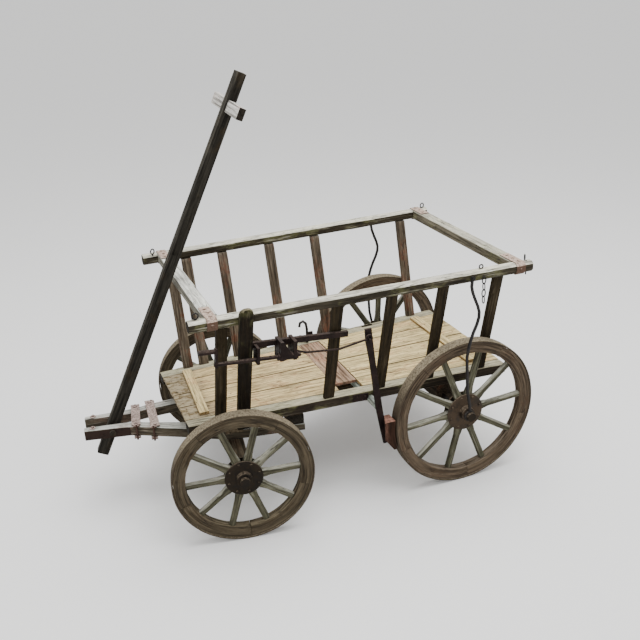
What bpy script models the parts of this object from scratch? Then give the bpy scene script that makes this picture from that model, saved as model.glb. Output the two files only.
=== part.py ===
"""Weathered wooden ladder cart: four spoked wheels, steered front carriage,
hinged pole, screw brake, open ladder sides and a plank floor.

Metres, +X towards the pole, +Y to the cart's left, +Z up, ground at z = 0.
"""
import math

import bpy
import bmesh
from mathutils import Matrix, Vector

# Overall layout
WHEELBASE = 0.6938
FRONT_RADIUS = 0.2134
REAR_RADIUS = 0.25
FRONT_TRACK_HALF = 0.324
REAR_TRACK_HALF = 0.3214
STEER_REST_DEG = -9.06
GAP = 0.0003
EDGE = 0.002
WELD = 0.00001
REAR_X = -WHEELBASE / 2
KING_X = WHEELBASE / 2

# Levels of the front carriage and body as heights above the front axle
ARM_RISE = 0.0356
CARRIAGE_BOLSTER_RISE = 0.0846
BODY_BOLSTER_RISE = (0.0906, 0.1223)
REACH_RISE = (0.0236, 0.0476)
DECK_THICK = 0.011
DECK_TOP = FRONT_RADIUS + BODY_BOLSTER_RISE[1] + GAP + DECK_THICK

# Wheels
TYRE_WIDTH = 0.038
TYRE_THICK = 0.005
FELLOE_WIDTH = 0.034
FELLOE_DEPTH = 0.036
RIM_SEGMENTS = 48
HUB_SEGMENTS = 24
SPOKES = 10
SPOKE_ROOT_WIDTH = 0.027
SPOKE_TIP_WIDTH = 0.020
SPOKE_THICK = 0.020
SPOKE_ROOT_RADIUS = 0.030
SPOKE_ROOT_LENGTH = 0.045
SPOKE_TIP_THIN = 0.9
SPOKE_EDGE = 0.003
TYRE_EDGE = (0.001, 0.002)
FELLOE_EDGE = 0.003
HUB_EDGE = 0.003
HUB_SEAT_RADIUS = 0.040
DISC_SINK = 0.0005
AXLE_RADIUS = 0.0107
BORE_RADIUS = 0.0112
AXLE_BAR_HALF = 0.011
HUB_INNER_REACH = 0.035
HUB_BARREL_RADIUS = 0.026
DISC_THICK = 0.004
NOSE_RADIUS = 0.024
# Radius of the hub discs, reach of the hub nose
FRONT_HUB = (0.058, 0.030)
REAR_HUB = (0.064, 0.034)

# Side ladders: the lines that the rails follow
TOP_RAIL_X = (0.514, -0.562)
TOP_RAIL_Y = (REAR_TRACK_HALF - 0.0134, REAR_TRACK_HALF + 0.0146)
TOP_RAIL_RISE = (0.3656, 0.3695)
TOP_RAIL_Z = (DECK_TOP + TOP_RAIL_RISE[0], DECK_TOP + TOP_RAIL_RISE[1])
TOP_RAIL_SIZE = (0.033, 0.034)
TOP_RAIL_CHAMFER = 0.008
LOW_RAIL_X = (0.521, -0.542)
LOW_RAIL_Y = (REAR_TRACK_HALF - 0.1434, REAR_TRACK_HALF - 0.0814)
LOW_RAIL_TOP = DECK_TOP
LOW_RAIL_SIZE = (0.042, 0.033)
SLAT_WIDTH = 0.034
SLAT_THICK = 0.018
SLAT_OUTSET = 0.010
MORTISE_HALF = 0.0065
TOP_MORTISE_LENGTH = 0.030
LOW_MORTISE_LENGTH = 0.042
MORTISE_DEPTH = 0.016
CUT_PAST = 0.010
STAKE_AHEAD = 0.168
STAKE_FOOT_RISE = -0.031
STAKE_SIZE = (0.040, 0.026)
STAKE_GAP = (0.0008, 0.0036)
STAKE_CHAMFER = 0.005
# Head of the stake: height above the rail's middle, share of the full size
STAKE_HEAD = ((0.0248, 1.0), (0.0358, 0.86), (0.0428, 0.55))

# Crossbars let in between the top rails, level with them
FRONT_BAR_X = TOP_RAIL_X[0] - 0.0692
REAR_BAR_X = TOP_RAIL_X[1] + 0.0425
BAR_WIDTH = 0.041
BAR_CHAMFER = 0.003

# Floor
PLANK_GROOVE = 0.0016
PLANK_GROOVE_DEPTH = 0.008
PLANK_SEAMS = (-0.56, -0.08, 0.40)
MIDDLE_GAP_X = (0.027, -0.051)
MIDDLE_BOARD_END_GAP = 0.0435
BATTEN_HEIGHT = 0.0103
BATTEN_SINK = 0.0017
# Batten on the planks: x and y of both ends, width
FRONT_BATTEN = ((LOW_RAIL_X[0] - 0.083, 0.020 - LOW_RAIL_Y[0]),
                (LOW_RAIL_X[0] - 0.063, LOW_RAIL_Y[0] - 0.028), 0.030)
REAR_BATTEN = ((LOW_RAIL_X[1] + 0.094, 0.034 - LOW_RAIL_Y[1]),
               (LOW_RAIL_X[1] + 0.094, LOW_RAIL_Y[1] - 0.040), 0.034)

# Running gear under the floor
REACH_Z = (FRONT_RADIUS + REACH_RISE[0], FRONT_RADIUS + REACH_RISE[1])
REACH_WIDTH = 0.050
REACH_PAST_KING = 0.030
BOLSTER_Z = (FRONT_RADIUS + BODY_BOLSTER_RISE[0], FRONT_RADIUS + BODY_BOLSTER_RISE[1])
BOLSTER_SIZE = (0.080, 0.316)
REAR_BLOCK_SIZE = (0.070, 2 * (REAR_TRACK_HALF - 0.1114))
KING_BOLT_RADIUS = 0.006
KING_BOLT_DROP = 0.0334
KING_NUT = (0.012, 0.012)
KING_WASHER = (0.026, 0.005)
AXLE_NUT_RADIUS = 0.0150
STUB_GAP = 0.004
STEP_APART = 0.0002
# Room between hub nose and axle nut, width of the nut
FRONT_NUT = (0.0008, 0.0113)
REAR_NUT = (0.0107, 0.0102)
STAY_RADIUS = 0.005
STAY_EYE = (0.018, 0.008)
STAY_Y = REAR_TRACK_HALF + 0.0404
STAY_GAP = 0.0005
STAY_LEAN_SHARE = 1.1
# Bends of the stay rods: x from the axle, height above it
STAY_LOWER_BENDS = ((0.0, 0.0165), (0.0013, 0.0403), (0.0115, 0.0933), (0.0169, 0.2083))
# Bends further up: x from the axle, height from the top rail's middle
STAY_UPPER_BENDS = (
    (0.0122, -0.2268), (0.0051, -0.2001), (-0.0044, -0.1740), (-0.0165, -0.1486),
    (-0.0235, -0.1270), (-0.0242, -0.1087), (-0.0190, -0.0896), (-0.0088, -0.0650),
    (-0.0002, -0.0411), (0.0034, -0.0227), (0.0009, 0.0014), (0.0004, 0.0079))

# Front carriage, in its own frame with the king bolt as origin
ARM_HEIGHT = 0.034
ARM_TAIL_HEIGHT = 0.024
ARM_TAIL_RISE = ARM_RISE + (ARM_HEIGHT - ARM_TAIL_HEIGHT) / 2
# Arm stations: x, y, middle's height above the front axle, width, height
ARM_STATIONS = (
    (0.4565, 0.0365, 0.0546, 0.023, ARM_HEIGHT), (0.330, 0.0410, 0.0541, 0.029, ARM_HEIGHT),
    (0.296, 0.0465, 0.0531, 0.031, ARM_HEIGHT), (0.244, 0.0630, 0.0516, 0.034, ARM_HEIGHT),
    (0.147, 0.0880, 0.0471, 0.044, ARM_HEIGHT), (0.030, 0.1220, ARM_RISE, 0.036, ARM_HEIGHT),
    (-0.030, 0.1300, ARM_RISE, 0.034, ARM_HEIGHT),
    (-0.222, 0.1550, ARM_TAIL_RISE, 0.028, ARM_TAIL_HEIGHT))
SLIDER_X = -0.192
SLIDER_SIZE = (0.056, 0.336, 0.0335)
FRONT_BEAM_SIZE = (0.054, 0.524)
CARRIAGE_BOLSTER_SIZE = (0.056, 0.330)
BLOCK_SEAT = 0.0005
KING_HOLE_GAP = 0.001
CLIP_WIDTH = 0.020
CLIP_THICK = 0.004
CLIP_GAP = 0.0012
CLIP_BOLT_RADIUS = 0.003
CLIP_BOLT_ENDS = (0.010, 0.008)
CLIP_PAST_BOLT = 0.0035
# Clip table: name, arm station, gap from the arm to the bolt's middle
FORK_CLIPS = (("front_fork_clip", 2, 0.004), ("rear_fork_clip", 3, 0.005))

# Pole
POLE_HINGE = (0.370, FRONT_RADIUS + 0.0546)
POLE_REST_OFFSET = 0.031936
POLE_PIN_RADIUS = 0.006
POLE_PIN_HOLE = 0.0068
POLE_PIN_HEAD = (0.0105, 0.0060)
POLE_PIN_LENGTH = 0.1204
HANDLE_TWIST_SHARE = 0.91
POLE_TAIL = -0.103
POLE_LENGTH = 1.166
POLE_TWIST_DEG = 16.0
POLE_EDGE = 0.003
HANDLE_AT = 1.066
HANDLE_SIZE = (0.022, 0.200, 0.036)
# Pole stations: height along it, width, depth, share of the twist
POLE_STATIONS = (
    (POLE_TAIL, 0.034, 0.036, 0.0), (0.10, 0.034, 0.037, 0.0),
    (0.60, 0.032, 0.034, 0.5), (POLE_LENGTH, 0.030, 0.031, 1.0))

# Brake
SHAFT_X = REAR_X + REAR_RADIUS + 0.0369
SHAFT_Z = LOW_RAIL_TOP - 0.029
SHAFT_RADIUS = 0.013
BEARING_GAP = 0.0004
LEVER_Y = (REAR_TRACK_HALF - 0.0334, REAR_TRACK_HALF - 0.0264)
LEVER_PIN = (0.034, 0.245)
LEVER_PIN_RADIUS = 0.004
LEVER_PIN_INSET = 0.002
LEVER_PIN_PAST = 0.019
# Lever outline from the shaft: x, z, half width
LEVER_FOOT = REAR_RADIUS - SHAFT_Z - 0.067
SHORT_LEVER = ((0.001, 0.022, 0.0103), (0.0, 0.0, 0.0105), (-0.024, LEVER_FOOT, 0.009))
LONG_LEVER = ((0.032, 0.274, 0.0105), (0.0295, 0.235, 0.0115), (0.0205, 0.170, 0.0095),
              (0.0124, 0.105, 0.0095)) + SHORT_LEVER[1:]
BLOCK_OUTER_Y = REAR_TRACK_HALF + 0.0216
# Rises of the block's face above the wheel's axle
BLOCK_FACE_RISES = (0.036, 0.010, -0.016, -0.042, -0.068)
# Back of the block from the shaft at foot, bend and top, inner and outer side
BLOCK_BACK = ((-0.028, -0.018, -0.0155), (-0.028, 0.002, 0.004))
BLOCK_BACK_BEND = 0.042
SCREW_TILT_DEG = 4.8
SCREW_CENTRE = (SHAFT_X + 0.389, REAR_TRACK_HALF + 0.0126, LOW_RAIL_TOP + 0.241)
GUIDE_CENTRE = (SHAFT_X + 0.252, REAR_TRACK_HALF - 0.0169, LOW_RAIL_TOP + 0.2628)
STAKE_X = GUIDE_CENTRE[0] + STAKE_AHEAD
GUIDE_ENDS = (-0.148, 0.1468)
GUIDE_SIZE = (0.012, 0.017)
GUIDE_BEARING_X = (0.134, 0.142)
BRAKE_GAP = 0.005
SCREW_RADIUS = 0.006
SCREW_ENDS = (0.128, -0.125)
NUT_AT = -0.086
NUT_HALF = 0.030
NUT_RADII = (0.0066, 0.0115)
ROD_RADIUS = 0.0035
ROD_EYE_RADII = (0.0055, 0.0110)
ROD_EYE_HALF = 0.003
ROD_EYE_RISE = 0.0043
ROD_EYE_OUT = 0.008
# Bends of the pull rod from the nut, in the screw's frame
ROD_BENDS = ((-0.108, -0.010, 0.010), (-0.150, -0.0225, -0.008), (-0.255, -0.0235, -0.012))
BEARING_WALL = 0.012
SLIDE_GAP = 0.0005
NUT_BAND_APART = 0.020
NUT_BAND_WIDTH = 0.010
NUT_BAND_WALL = 0.004
CRANK_ARM = ((0.120, -0.008, -0.0075), (0.1262, 0.008, 0.048))
# Grip of the crank: height above the screw, radius, end
CRANK_GRIP = (0.040, 0.0075, 0.172)

# Chain on the left top rail
CHAIN_X = REAR_X - 0.0411
CHAIN_LINKS = 4
CHAIN_LINK = (0.024, 0.012, 0.0018)
CHAIN_HOLD = 1.6
CHAIN_OUT = (0.0022, -0.0019)

MATERIALS = {
    "grey_wood": ((0.30, 0.27, 0.22, 1.0), 0.85, 0.0),
    "dark_wood": ((0.09, 0.07, 0.05, 1.0), 0.85, 0.0),
    "pale_wood": ((0.52, 0.45, 0.34, 1.0), 0.85, 0.0),
    "brown_wood": ((0.16, 0.11, 0.07, 1.0), 0.8, 0.0),
    "block_wood": ((0.25, 0.13, 0.10, 1.0), 0.8, 0.0),
    "mint_wood": ((0.55, 0.60, 0.56, 1.0), 0.75, 0.0),
    "worn_iron": ((0.38, 0.34, 0.30, 1.0), 0.6, 0.6),
    "dark_iron": ((0.06, 0.055, 0.055, 1.0), 0.6, 0.7),
    "rusty_iron": ((0.20, 0.12, 0.09, 1.0), 0.8, 0.4),
}


def clear_scene():
    for item in list(bpy.data.objects):
        bpy.data.objects.remove(item, do_unlink=True)


def make_material(name):
    found = bpy.data.materials.get(name)
    if found:
        return found
    colour, rough, metal = MATERIALS[name]
    made = bpy.data.materials.new(name)
    made.use_nodes = True
    shader = made.node_tree.nodes["Principled BSDF"]
    shader.inputs["Base Color"].default_value = colour
    shader.inputs["Roughness"].default_value = rough
    shader.inputs["Metallic"].default_value = metal
    made.diffuse_color = colour
    return made


def lerp(pair, t):
    return pair[0] + (pair[1] - pair[0]) * t


def along(x_pair, x):
    return (x - x_pair[0]) / (x_pair[1] - x_pair[0])


def top_rail_at(x, side):
    t = along(TOP_RAIL_X, x)
    return side * lerp(TOP_RAIL_Y, t), lerp(TOP_RAIL_Z, t)


def low_rail_at(x, side):
    return side * lerp(LOW_RAIL_Y, along(LOW_RAIL_X, x))


def mesh_from(name, verts, faces):
    mesh = bpy.data.meshes.new(name)
    bm = bmesh.new()
    made = [bm.verts.new(v) for v in verts]
    for face in faces:
        bm.faces.new([made[i] for i in face])
    bmesh.ops.recalc_face_normals(bm, faces=bm.faces)
    bm.to_mesh(mesh)
    bm.free()
    return mesh


def loft(name, rings, closed=False):
    """A solid through rings of equal point count; closed joins last to first."""
    count = len(rings[0])
    verts = [Vector(p) for ring in rings for p in ring]
    faces = []
    last = len(rings) if closed else len(rings) - 1
    for i in range(last):
        a = i * count
        b = ((i + 1) % len(rings)) * count
        for j in range(count):
            k = (j + 1) % count
            faces.append((a + j, a + k, b + k, b + j))
    if not closed:
        faces.append(tuple(range(count)))
        faces.append(tuple((last * count) + j for j in range(count)))
    return mesh_from(name, verts, faces)


def chamfered(width, height, cut):
    """Eight corner points of a rectangle with its corners taken off."""
    w, h = width / 2, height / 2
    return ((w - cut, h), (-w + cut, h), (-w, h - cut), (-w, -h + cut),
            (-w + cut, -h), (w - cut, -h), (w, -h + cut), (w, h - cut))


def beam_x(name, stations, size, cut=EDGE):
    """A beam along X through (x, y, z) centres with an upright section."""
    section = chamfered(size[0], size[1], cut)
    rings = [[(x, y + a, z + b) for a, b in section] for x, y, z in stations]
    return loft(name, rings)


def beam_y(name, stations, size, cut=EDGE):
    """A beam along Y through (x, y, z) centres with an upright section."""
    section = chamfered(size[0], size[1], cut)
    rings = [[(x + a, y, z + b) for a, b in section] for x, y, z in stations]
    return loft(name, rings)


def column(name, stations, cut=EDGE):
    """An upright post through (x, y, z, width, thickness) level sections."""
    rings = []
    for x, y, z, width, thick in stations:
        rings.append([(x + a, y + b, z) for a, b in chamfered(width, thick, cut)])
    return loft(name, rings)


def box(name, low, high):
    mesh = bpy.data.meshes.new(name)
    bm = bmesh.new()
    bmesh.ops.create_cube(bm, size=1.0)
    size = [high[i] - low[i] for i in range(3)]
    mid = [(high[i] + low[i]) / 2 for i in range(3)]
    bmesh.ops.scale(bm, vec=size, verts=bm.verts)
    bmesh.ops.translate(bm, vec=mid, verts=bm.verts)
    bm.to_mesh(mesh)
    bm.free()
    return mesh


def circle(radius, count, phase=0.0):
    step = 2 * math.pi / count
    return [(radius * math.cos(phase + i * step), radius * math.sin(phase + i * step))
            for i in range(count)]


def cylinder(name, start, end, radius, count=12):
    start, end = Vector(start), Vector(end)
    axis = end - start
    turn = axis.to_track_quat("Z", "Y").to_matrix().to_4x4()
    mesh = bpy.data.meshes.new(name)
    bm = bmesh.new()
    bmesh.ops.create_cone(bm, cap_ends=True, segments=count, radius1=radius, radius2=radius,
                          depth=axis.length, matrix=Matrix.Translation((start + end) / 2) @ turn)
    bm.to_mesh(mesh)
    bm.free()
    return mesh


def welded_mesh(item):
    """The evaluated mesh of an object in world space; the object is used up."""
    bpy.context.scene.collection.objects.link(item)
    bpy.context.view_layer.update()
    graph = bpy.context.evaluated_depsgraph_get()
    mesh = bpy.data.meshes.new_from_object(item.evaluated_get(graph))
    mesh.transform(item.matrix_world)
    bpy.data.objects.remove(item, do_unlink=True)
    bm = bmesh.new()
    bm.from_mesh(mesh)
    bmesh.ops.remove_doubles(bm, verts=bm.verts, dist=WELD)
    bmesh.ops.recalc_face_normals(bm, faces=bm.faces)
    bm.to_mesh(mesh)
    bm.free()
    return mesh


def turned(name, profile, count, closed=True):
    """A solid turned about Y from (radius, y) points; an open profile ends on the axis."""
    mesh = bpy.data.meshes.new(name)
    edges = [(i, i + 1) for i in range(len(profile) - 1)]
    if closed:
        edges.append((len(profile) - 1, 0))
    mesh.from_pydata([(radius, y, 0) for radius, y in profile], edges, [])
    item = bpy.data.objects.new(name, mesh)
    screw = item.modifiers.new("turn", "SCREW")
    screw.axis = "Y"
    screw.angle = 2 * math.pi
    screw.steps = count
    screw.render_steps = count
    screw.use_merge_vertices = True
    screw.merge_threshold = WELD
    return welded_mesh(item)


def drum(name, start, end, radii, count=12):
    """A round solid from start to end, its radius changing at given lengths."""
    start, axis = Vector(start), Vector(end) - Vector(start)
    profile = [(radius, length) for length, radius in radii]
    profile = [(0, profile[0][1])] + profile + [(0, profile[-1][1])]
    mesh = turned(name, profile, count, closed=False)
    mesh.transform(Matrix.Translation(start) @ axis.to_track_quat("Y", "Z").to_matrix().to_4x4())
    return mesh


def rod(name, points, radius, closed=False, resolution=2):
    """A round bar that follows a bent line."""
    line = bpy.data.curves.new(name, "CURVE")
    line.dimensions = "3D"
    line.bevel_depth = radius
    line.bevel_resolution = resolution
    line.use_fill_caps = True
    spline = line.splines.new("POLY")
    spline.points.add(len(points) - 1)
    for point, place in zip(spline.points, points):
        point.co = (*place, 1.0)
    spline.use_cyclic_u = closed
    return welded_mesh(bpy.data.objects.new(name, line))


def flat(name, outlines, low_y, high_y):
    """A flat shape from (x, z) outlines, thick along Y; a second outline is a hole."""
    line = bpy.data.curves.new(name, "CURVE")
    line.dimensions = "2D"
    line.fill_mode = "BOTH"
    line.extrude = (high_y - low_y) / 2
    for outline in outlines:
        spline = line.splines.new("POLY")
        spline.points.add(len(outline) - 1)
        for point, (x, z) in zip(spline.points, outline):
            point.co = (x, z, 0.0, 1.0)
        spline.use_cyclic_u = True
    item = bpy.data.objects.new(name, line)
    item.location = (0, (low_y + high_y) / 2, 0)
    item.rotation_euler = (math.pi / 2, 0, 0)
    return welded_mesh(item)


def cut_or_join(mesh, other, operation):
    """Boolean of two meshes; the second is used up."""
    holder = bpy.data.objects.new("holder", mesh)
    tool = bpy.data.objects.new("cutter", other)
    scene = bpy.context.scene.collection
    scene.objects.link(holder)
    scene.objects.link(tool)
    mod = holder.modifiers.new("cut", "BOOLEAN")
    mod.solver = "EXACT"
    mod.operation = operation
    mod.object = tool
    bpy.context.view_layer.update()
    graph = bpy.context.evaluated_depsgraph_get()
    result = bpy.data.meshes.new_from_object(holder.evaluated_get(graph))
    result.name = mesh.name
    bpy.data.objects.remove(holder, do_unlink=True)
    bpy.data.objects.remove(tool, do_unlink=True)
    bm = bmesh.new()
    bm.from_mesh(result)
    bmesh.ops.remove_doubles(bm, verts=bm.verts, dist=0.00005)
    bmesh.ops.dissolve_degenerate(bm, edges=bm.edges, dist=0.00002)
    bm.to_mesh(result)
    bm.free()
    return result


def cut(mesh, other):
    return cut_or_join(mesh, other, "DIFFERENCE")


def join(mesh, other):
    return cut_or_join(mesh, other, "UNION")


class Cart:
    """Collects the objects, each with its own material and parent."""

    def __init__(self):
        self.home = bpy.data.collections.new("weathered_wooden_cart")
        bpy.context.scene.collection.children.link(self.home)
        self.made = {}

    def empty(self, name, parent=None, at=(0, 0, 0), turn=(0, 0, 0)):
        item = bpy.data.objects.new(name, None)
        item.empty_display_size = 0.05
        item.location = at
        item.rotation_euler = turn
        item.parent = parent
        self.home.objects.link(item)
        return item

    def add(self, name, mesh, material, parent, at=(0, 0, 0), turn=(0, 0, 0), round_shape=False):
        mesh.name = name
        mesh.materials.clear()
        mesh.materials.append(make_material(material))
        item = bpy.data.objects.new(name, mesh)
        item.location = at
        item.rotation_euler = turn
        item.parent = parent
        self.home.objects.link(item)
        if round_shape:
            for face in mesh.polygons:
                face.use_smooth = True
            mesh.set_sharp_from_angle(angle=math.radians(35))
        self.made[name] = item
        return item

    def anchored(self, name, mesh, material, parent, anchor, round_shape=False):
        """Adds a piece whose origin is a chosen point of its parent's frame."""
        mesh.transform(Matrix.Translation(-Vector(anchor)))
        return self.add(name, mesh, material, parent, anchor, round_shape=round_shape)


def spoke_mesh(name, root, tip, angle):
    half = SPOKE_THICK / 2
    rings = []
    for radius, width, thick in ((root, SPOKE_ROOT_WIDTH, half),
                                 (root + SPOKE_ROOT_LENGTH, SPOKE_ROOT_WIDTH, half),
                                 (tip, SPOKE_TIP_WIDTH, half * SPOKE_TIP_THIN)):
        section = chamfered(width, thick * 2, SPOKE_EDGE)
        ring = []
        for a, b in section:
            x = radius * math.cos(angle) - a * math.sin(angle)
            z = radius * math.sin(angle) + a * math.cos(angle)
            ring.append((x, b, z))
        rings.append(ring)
    return loft(name, rings)


def wheel_meshes(radius, disc_radius, nose_end):
    """Tyre, felloe ring and spoked hub about the local Y axis, outer side +Y."""
    half_t, half_f = TYRE_WIDTH / 2, FELLOE_WIDTH / 2
    tyre_in = radius - TYRE_THICK
    down, along_y = TYRE_EDGE
    tyre = turned("tyre", ((tyre_in, -half_t), (radius - down, -half_t), (radius, -half_t + along_y),
                           (radius, half_t - along_y), (radius - down, half_t), (tyre_in, half_t)),
                  RIM_SEGMENTS)
    out = tyre_in - GAP
    inn = out - FELLOE_DEPTH
    edge = FELLOE_EDGE
    felloe = turned("felloe", ((inn, -half_f + edge), (inn + edge, -half_f), (out, -half_f),
                               (out, half_f), (inn + edge, half_f), (inn, half_f - edge)),
                    RIM_SEGMENTS)
    face = SPOKE_THICK / 2 - DISC_SINK
    back = face + DISC_THICK
    edge = HUB_EDGE
    hub = turned("hub", ((BORE_RADIUS, -HUB_INNER_REACH), (HUB_BARREL_RADIUS - edge, -HUB_INNER_REACH),
                         (HUB_BARREL_RADIUS, -HUB_INNER_REACH + edge), (HUB_BARREL_RADIUS, -back),
                         (disc_radius, -back), (disc_radius, -face), (HUB_SEAT_RADIUS, -face),
                         (HUB_SEAT_RADIUS, face), (disc_radius, face), (disc_radius, back),
                         (NOSE_RADIUS, back), (NOSE_RADIUS, nose_end - edge),
                         (NOSE_RADIUS - edge, nose_end), (BORE_RADIUS, nose_end)), HUB_SEGMENTS)
    tip = inn * math.cos(math.pi / RIM_SEGMENTS) - 2 * GAP
    for i in range(SPOKES):
        angle = 2 * math.pi * i / SPOKES + math.pi / 2
        hub = join(hub, spoke_mesh("spoke", SPOKE_ROOT_RADIUS, tip, angle))
    return tyre, felloe, hub


# Wheel table: prefix, front axle, side, turned by degrees
WHEELS = (
    ("front_left", True, 1, 15.8),
    ("front_right", True, -1, 21.0),
    ("rear_left", False, 1, 14.4),
    ("rear_right", False, -1, 3.0),
)


def build_wheels(cart, root, carriage):
    sources = {}
    for prefix, front, side, phase in WHEELS:
        radius = FRONT_RADIUS if front else REAR_RADIUS
        track = FRONT_TRACK_HALF if front else REAR_TRACK_HALF
        x = 0.0 if front else REAR_X
        parent = carriage if front else root
        if front not in sources:
            sources[front] = wheel_meshes(radius, *(FRONT_HUB if front else REAR_HUB))
        centre = (x, side * track, radius)
        turn = (0, math.radians(-phase * side), 0 if side > 0 else math.pi)
        names = (("_tyre", "worn_iron"), ("_felloes", "brown_wood"), ("_spokes", "grey_wood"))
        for (suffix, material), mesh in zip(names, sources[front]):
            cart.add(prefix + suffix, mesh.copy(), material, parent, centre, turn, True)


# Slat table: name, side, x of the slat
SLATS = (
    ("left_slat_1", 1, 0.420), ("left_slat_4", 1, 0.0764), ("left_slat_5", 1, -0.0956),
    ("left_slat_6", 1, -0.2646), ("left_slat_7", 1, -0.4497),
    ("right_slat_1", -1, 0.4247), ("right_slat_2", -1, 0.3686), ("right_slat_3", -1, 0.2419),
    ("right_slat_4", -1, 0.0704), ("right_slat_5", -1, -0.1025), ("right_slat_7", -1, -0.4502),
)
# Empty mortises of the missing slats: side, x
EMPTY_MORTISES = ((1, 0.2495), (-1, -0.2646))


def slat_line(x, side, z):
    low_y = low_rail_at(x, side) + side * SLAT_OUTSET
    top_y, top_z = top_rail_at(x, side)
    t = (z - LOW_RAIL_TOP) / (top_z - LOW_RAIL_TOP)
    return low_y + (top_y - low_y) * t


def mortise(x, y, length, low, high):
    return box("slot", (x - length / 2, y - MORTISE_HALF, low), (x + length / 2, y + MORTISE_HALF, high))


def build_rails(cart, root, side, word):
    empty = [x for where, x in EMPTY_MORTISES if where == side]
    stations = [(x, side * y, z) for x, y, z in zip(TOP_RAIL_X, TOP_RAIL_Y, TOP_RAIL_Z)]
    mesh = beam_x("rail", stations, TOP_RAIL_SIZE, TOP_RAIL_CHAMFER)
    for x in empty:
        y, z = top_rail_at(x, side)
        bottom = z - TOP_RAIL_SIZE[1] / 2
        mesh = cut(mesh, mortise(x, y, TOP_MORTISE_LENGTH, bottom - CUT_PAST, bottom + MORTISE_DEPTH))
    cart.anchored(word + "_top_rail", mesh, "grey_wood", root, (0, side * TOP_RAIL_Y[0], TOP_RAIL_Z[0]))

    z = LOW_RAIL_TOP - LOW_RAIL_SIZE[1] / 2
    low, high = LOW_RAIL_TOP - MORTISE_DEPTH, LOW_RAIL_TOP + CUT_PAST
    stations = [(x, side * y, z) for x, y in zip(LOW_RAIL_X, LOW_RAIL_Y)]
    mesh = beam_x("rail", stations, LOW_RAIL_SIZE)
    for x in empty:
        y = low_rail_at(x, side) + side * SLAT_OUTSET
        mesh = cut(mesh, mortise(x, y, LOW_MORTISE_LENGTH, low, high))
    y = low_rail_at(SHAFT_X, side)
    past = LOW_RAIL_SIZE[0]
    mesh = cut(mesh, cylinder("bearing", (SHAFT_X, y - past, SHAFT_Z), (SHAFT_X, y + past, SHAFT_Z),
                              SHAFT_RADIUS + BEARING_GAP, 16))
    cart.anchored(word + "_lower_rail", mesh, "pale_wood", root, (0, side * LOW_RAIL_Y[0], LOW_RAIL_TOP))


def build_sides(cart, root):
    for side, word in ((1, "left"), (-1, "right")):
        build_rails(cart, root, side, word)

    for name, side, x in SLATS:
        top_z = top_rail_at(x, side)[1] - TOP_RAIL_SIZE[1] / 2 - GAP * 2
        low_z = LOW_RAIL_TOP + GAP
        stations = [(x, slat_line(x, side, z), z, SLAT_WIDTH, SLAT_THICK) for z in (low_z, top_z)]
        cart.anchored(name, column(name, stations), "dark_wood", root, stations[0][:3])

    wide, thick = STAKE_SIZE
    foot = LOW_RAIL_TOP + STAKE_FOOT_RISE
    low_y = low_rail_at(STAKE_X, 1) + LOW_RAIL_SIZE[0] / 2 + thick / 2 + STAKE_GAP[0]
    rail_y, rail_z = top_rail_at(STAKE_X, 1)
    high_y = rail_y + TOP_RAIL_SIZE[0] / 2 + thick / 2 + STAKE_GAP[1]
    slope = (high_y - low_y) / (rail_z - foot)
    stations = []
    for z, scale in [(foot, 1.0)] + [(rail_z + rise, scale) for rise, scale in STAKE_HEAD]:
        stations.append((STAKE_X, low_y + (z - foot) * slope, z, wide * scale, thick * scale))
    cart.anchored("left_stake", column("stake", stations, STAKE_CHAMFER), "dark_wood", root, stations[0][:3])


def deck_section(x):
    """Outline of the planks across the cart at one x, with grooves as seams."""
    half = low_rail_at(x, 1) - LOW_RAIL_SIZE[0] / 2 - GAP
    low = DECK_TOP - DECK_THICK
    points = [(x, half, low), (x, half, DECK_TOP)]
    for seam in reversed(PLANK_SEAMS):
        y = seam * low_rail_at(x, 1)
        for dy, dz in ((PLANK_GROOVE, 0), (PLANK_GROOVE, -PLANK_GROOVE_DEPTH),
                       (-PLANK_GROOVE, -PLANK_GROOVE_DEPTH), (-PLANK_GROOVE, 0)):
            points.append((x, y + dy / 2, DECK_TOP + dz))
    points += [(x, -half, DECK_TOP), (x, -half, low)]
    return points


def batten(ends):
    """A bar across the planks with upright sides and its top edges taken off."""
    (x_a, y_a), (x_b, y_b), width = ends
    low, high = DECK_TOP - BATTEN_SINK, DECK_TOP + BATTEN_HEIGHT
    half, edge = width / 2, EDGE
    outline = ((-half, low), (half, low), (half, high - edge), (half - edge, high),
               (-half + edge, high), (-half, high - edge))
    return loft("batten", [[(x + a, y, z) for a, z in outline] for x, y in ((x_a, y_a), (x_b, y_b))])


def build_crossbars(cart, root):
    """Bars as high as the rails, their ends along the rails' inner faces."""
    section = chamfered(BAR_WIDTH, TOP_RAIL_SIZE[1], BAR_CHAMFER)
    inset = TOP_RAIL_SIZE[0] / 2 + GAP
    for name, x, material in (("front_top_crossbar", FRONT_BAR_X, "grey_wood"),
                              ("rear_top_crossbar", REAR_BAR_X, "pale_wood")):
        level = top_rail_at(x, 1)[1]
        rings = []
        for side in (-1, 1):
            rings.append([(x + a, top_rail_at(x + a, side)[0] - side * inset, level + b)
                          for a, b in section])
        cart.anchored(name, loft("bar", rings), material, root, (x, 0, level))


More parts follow.
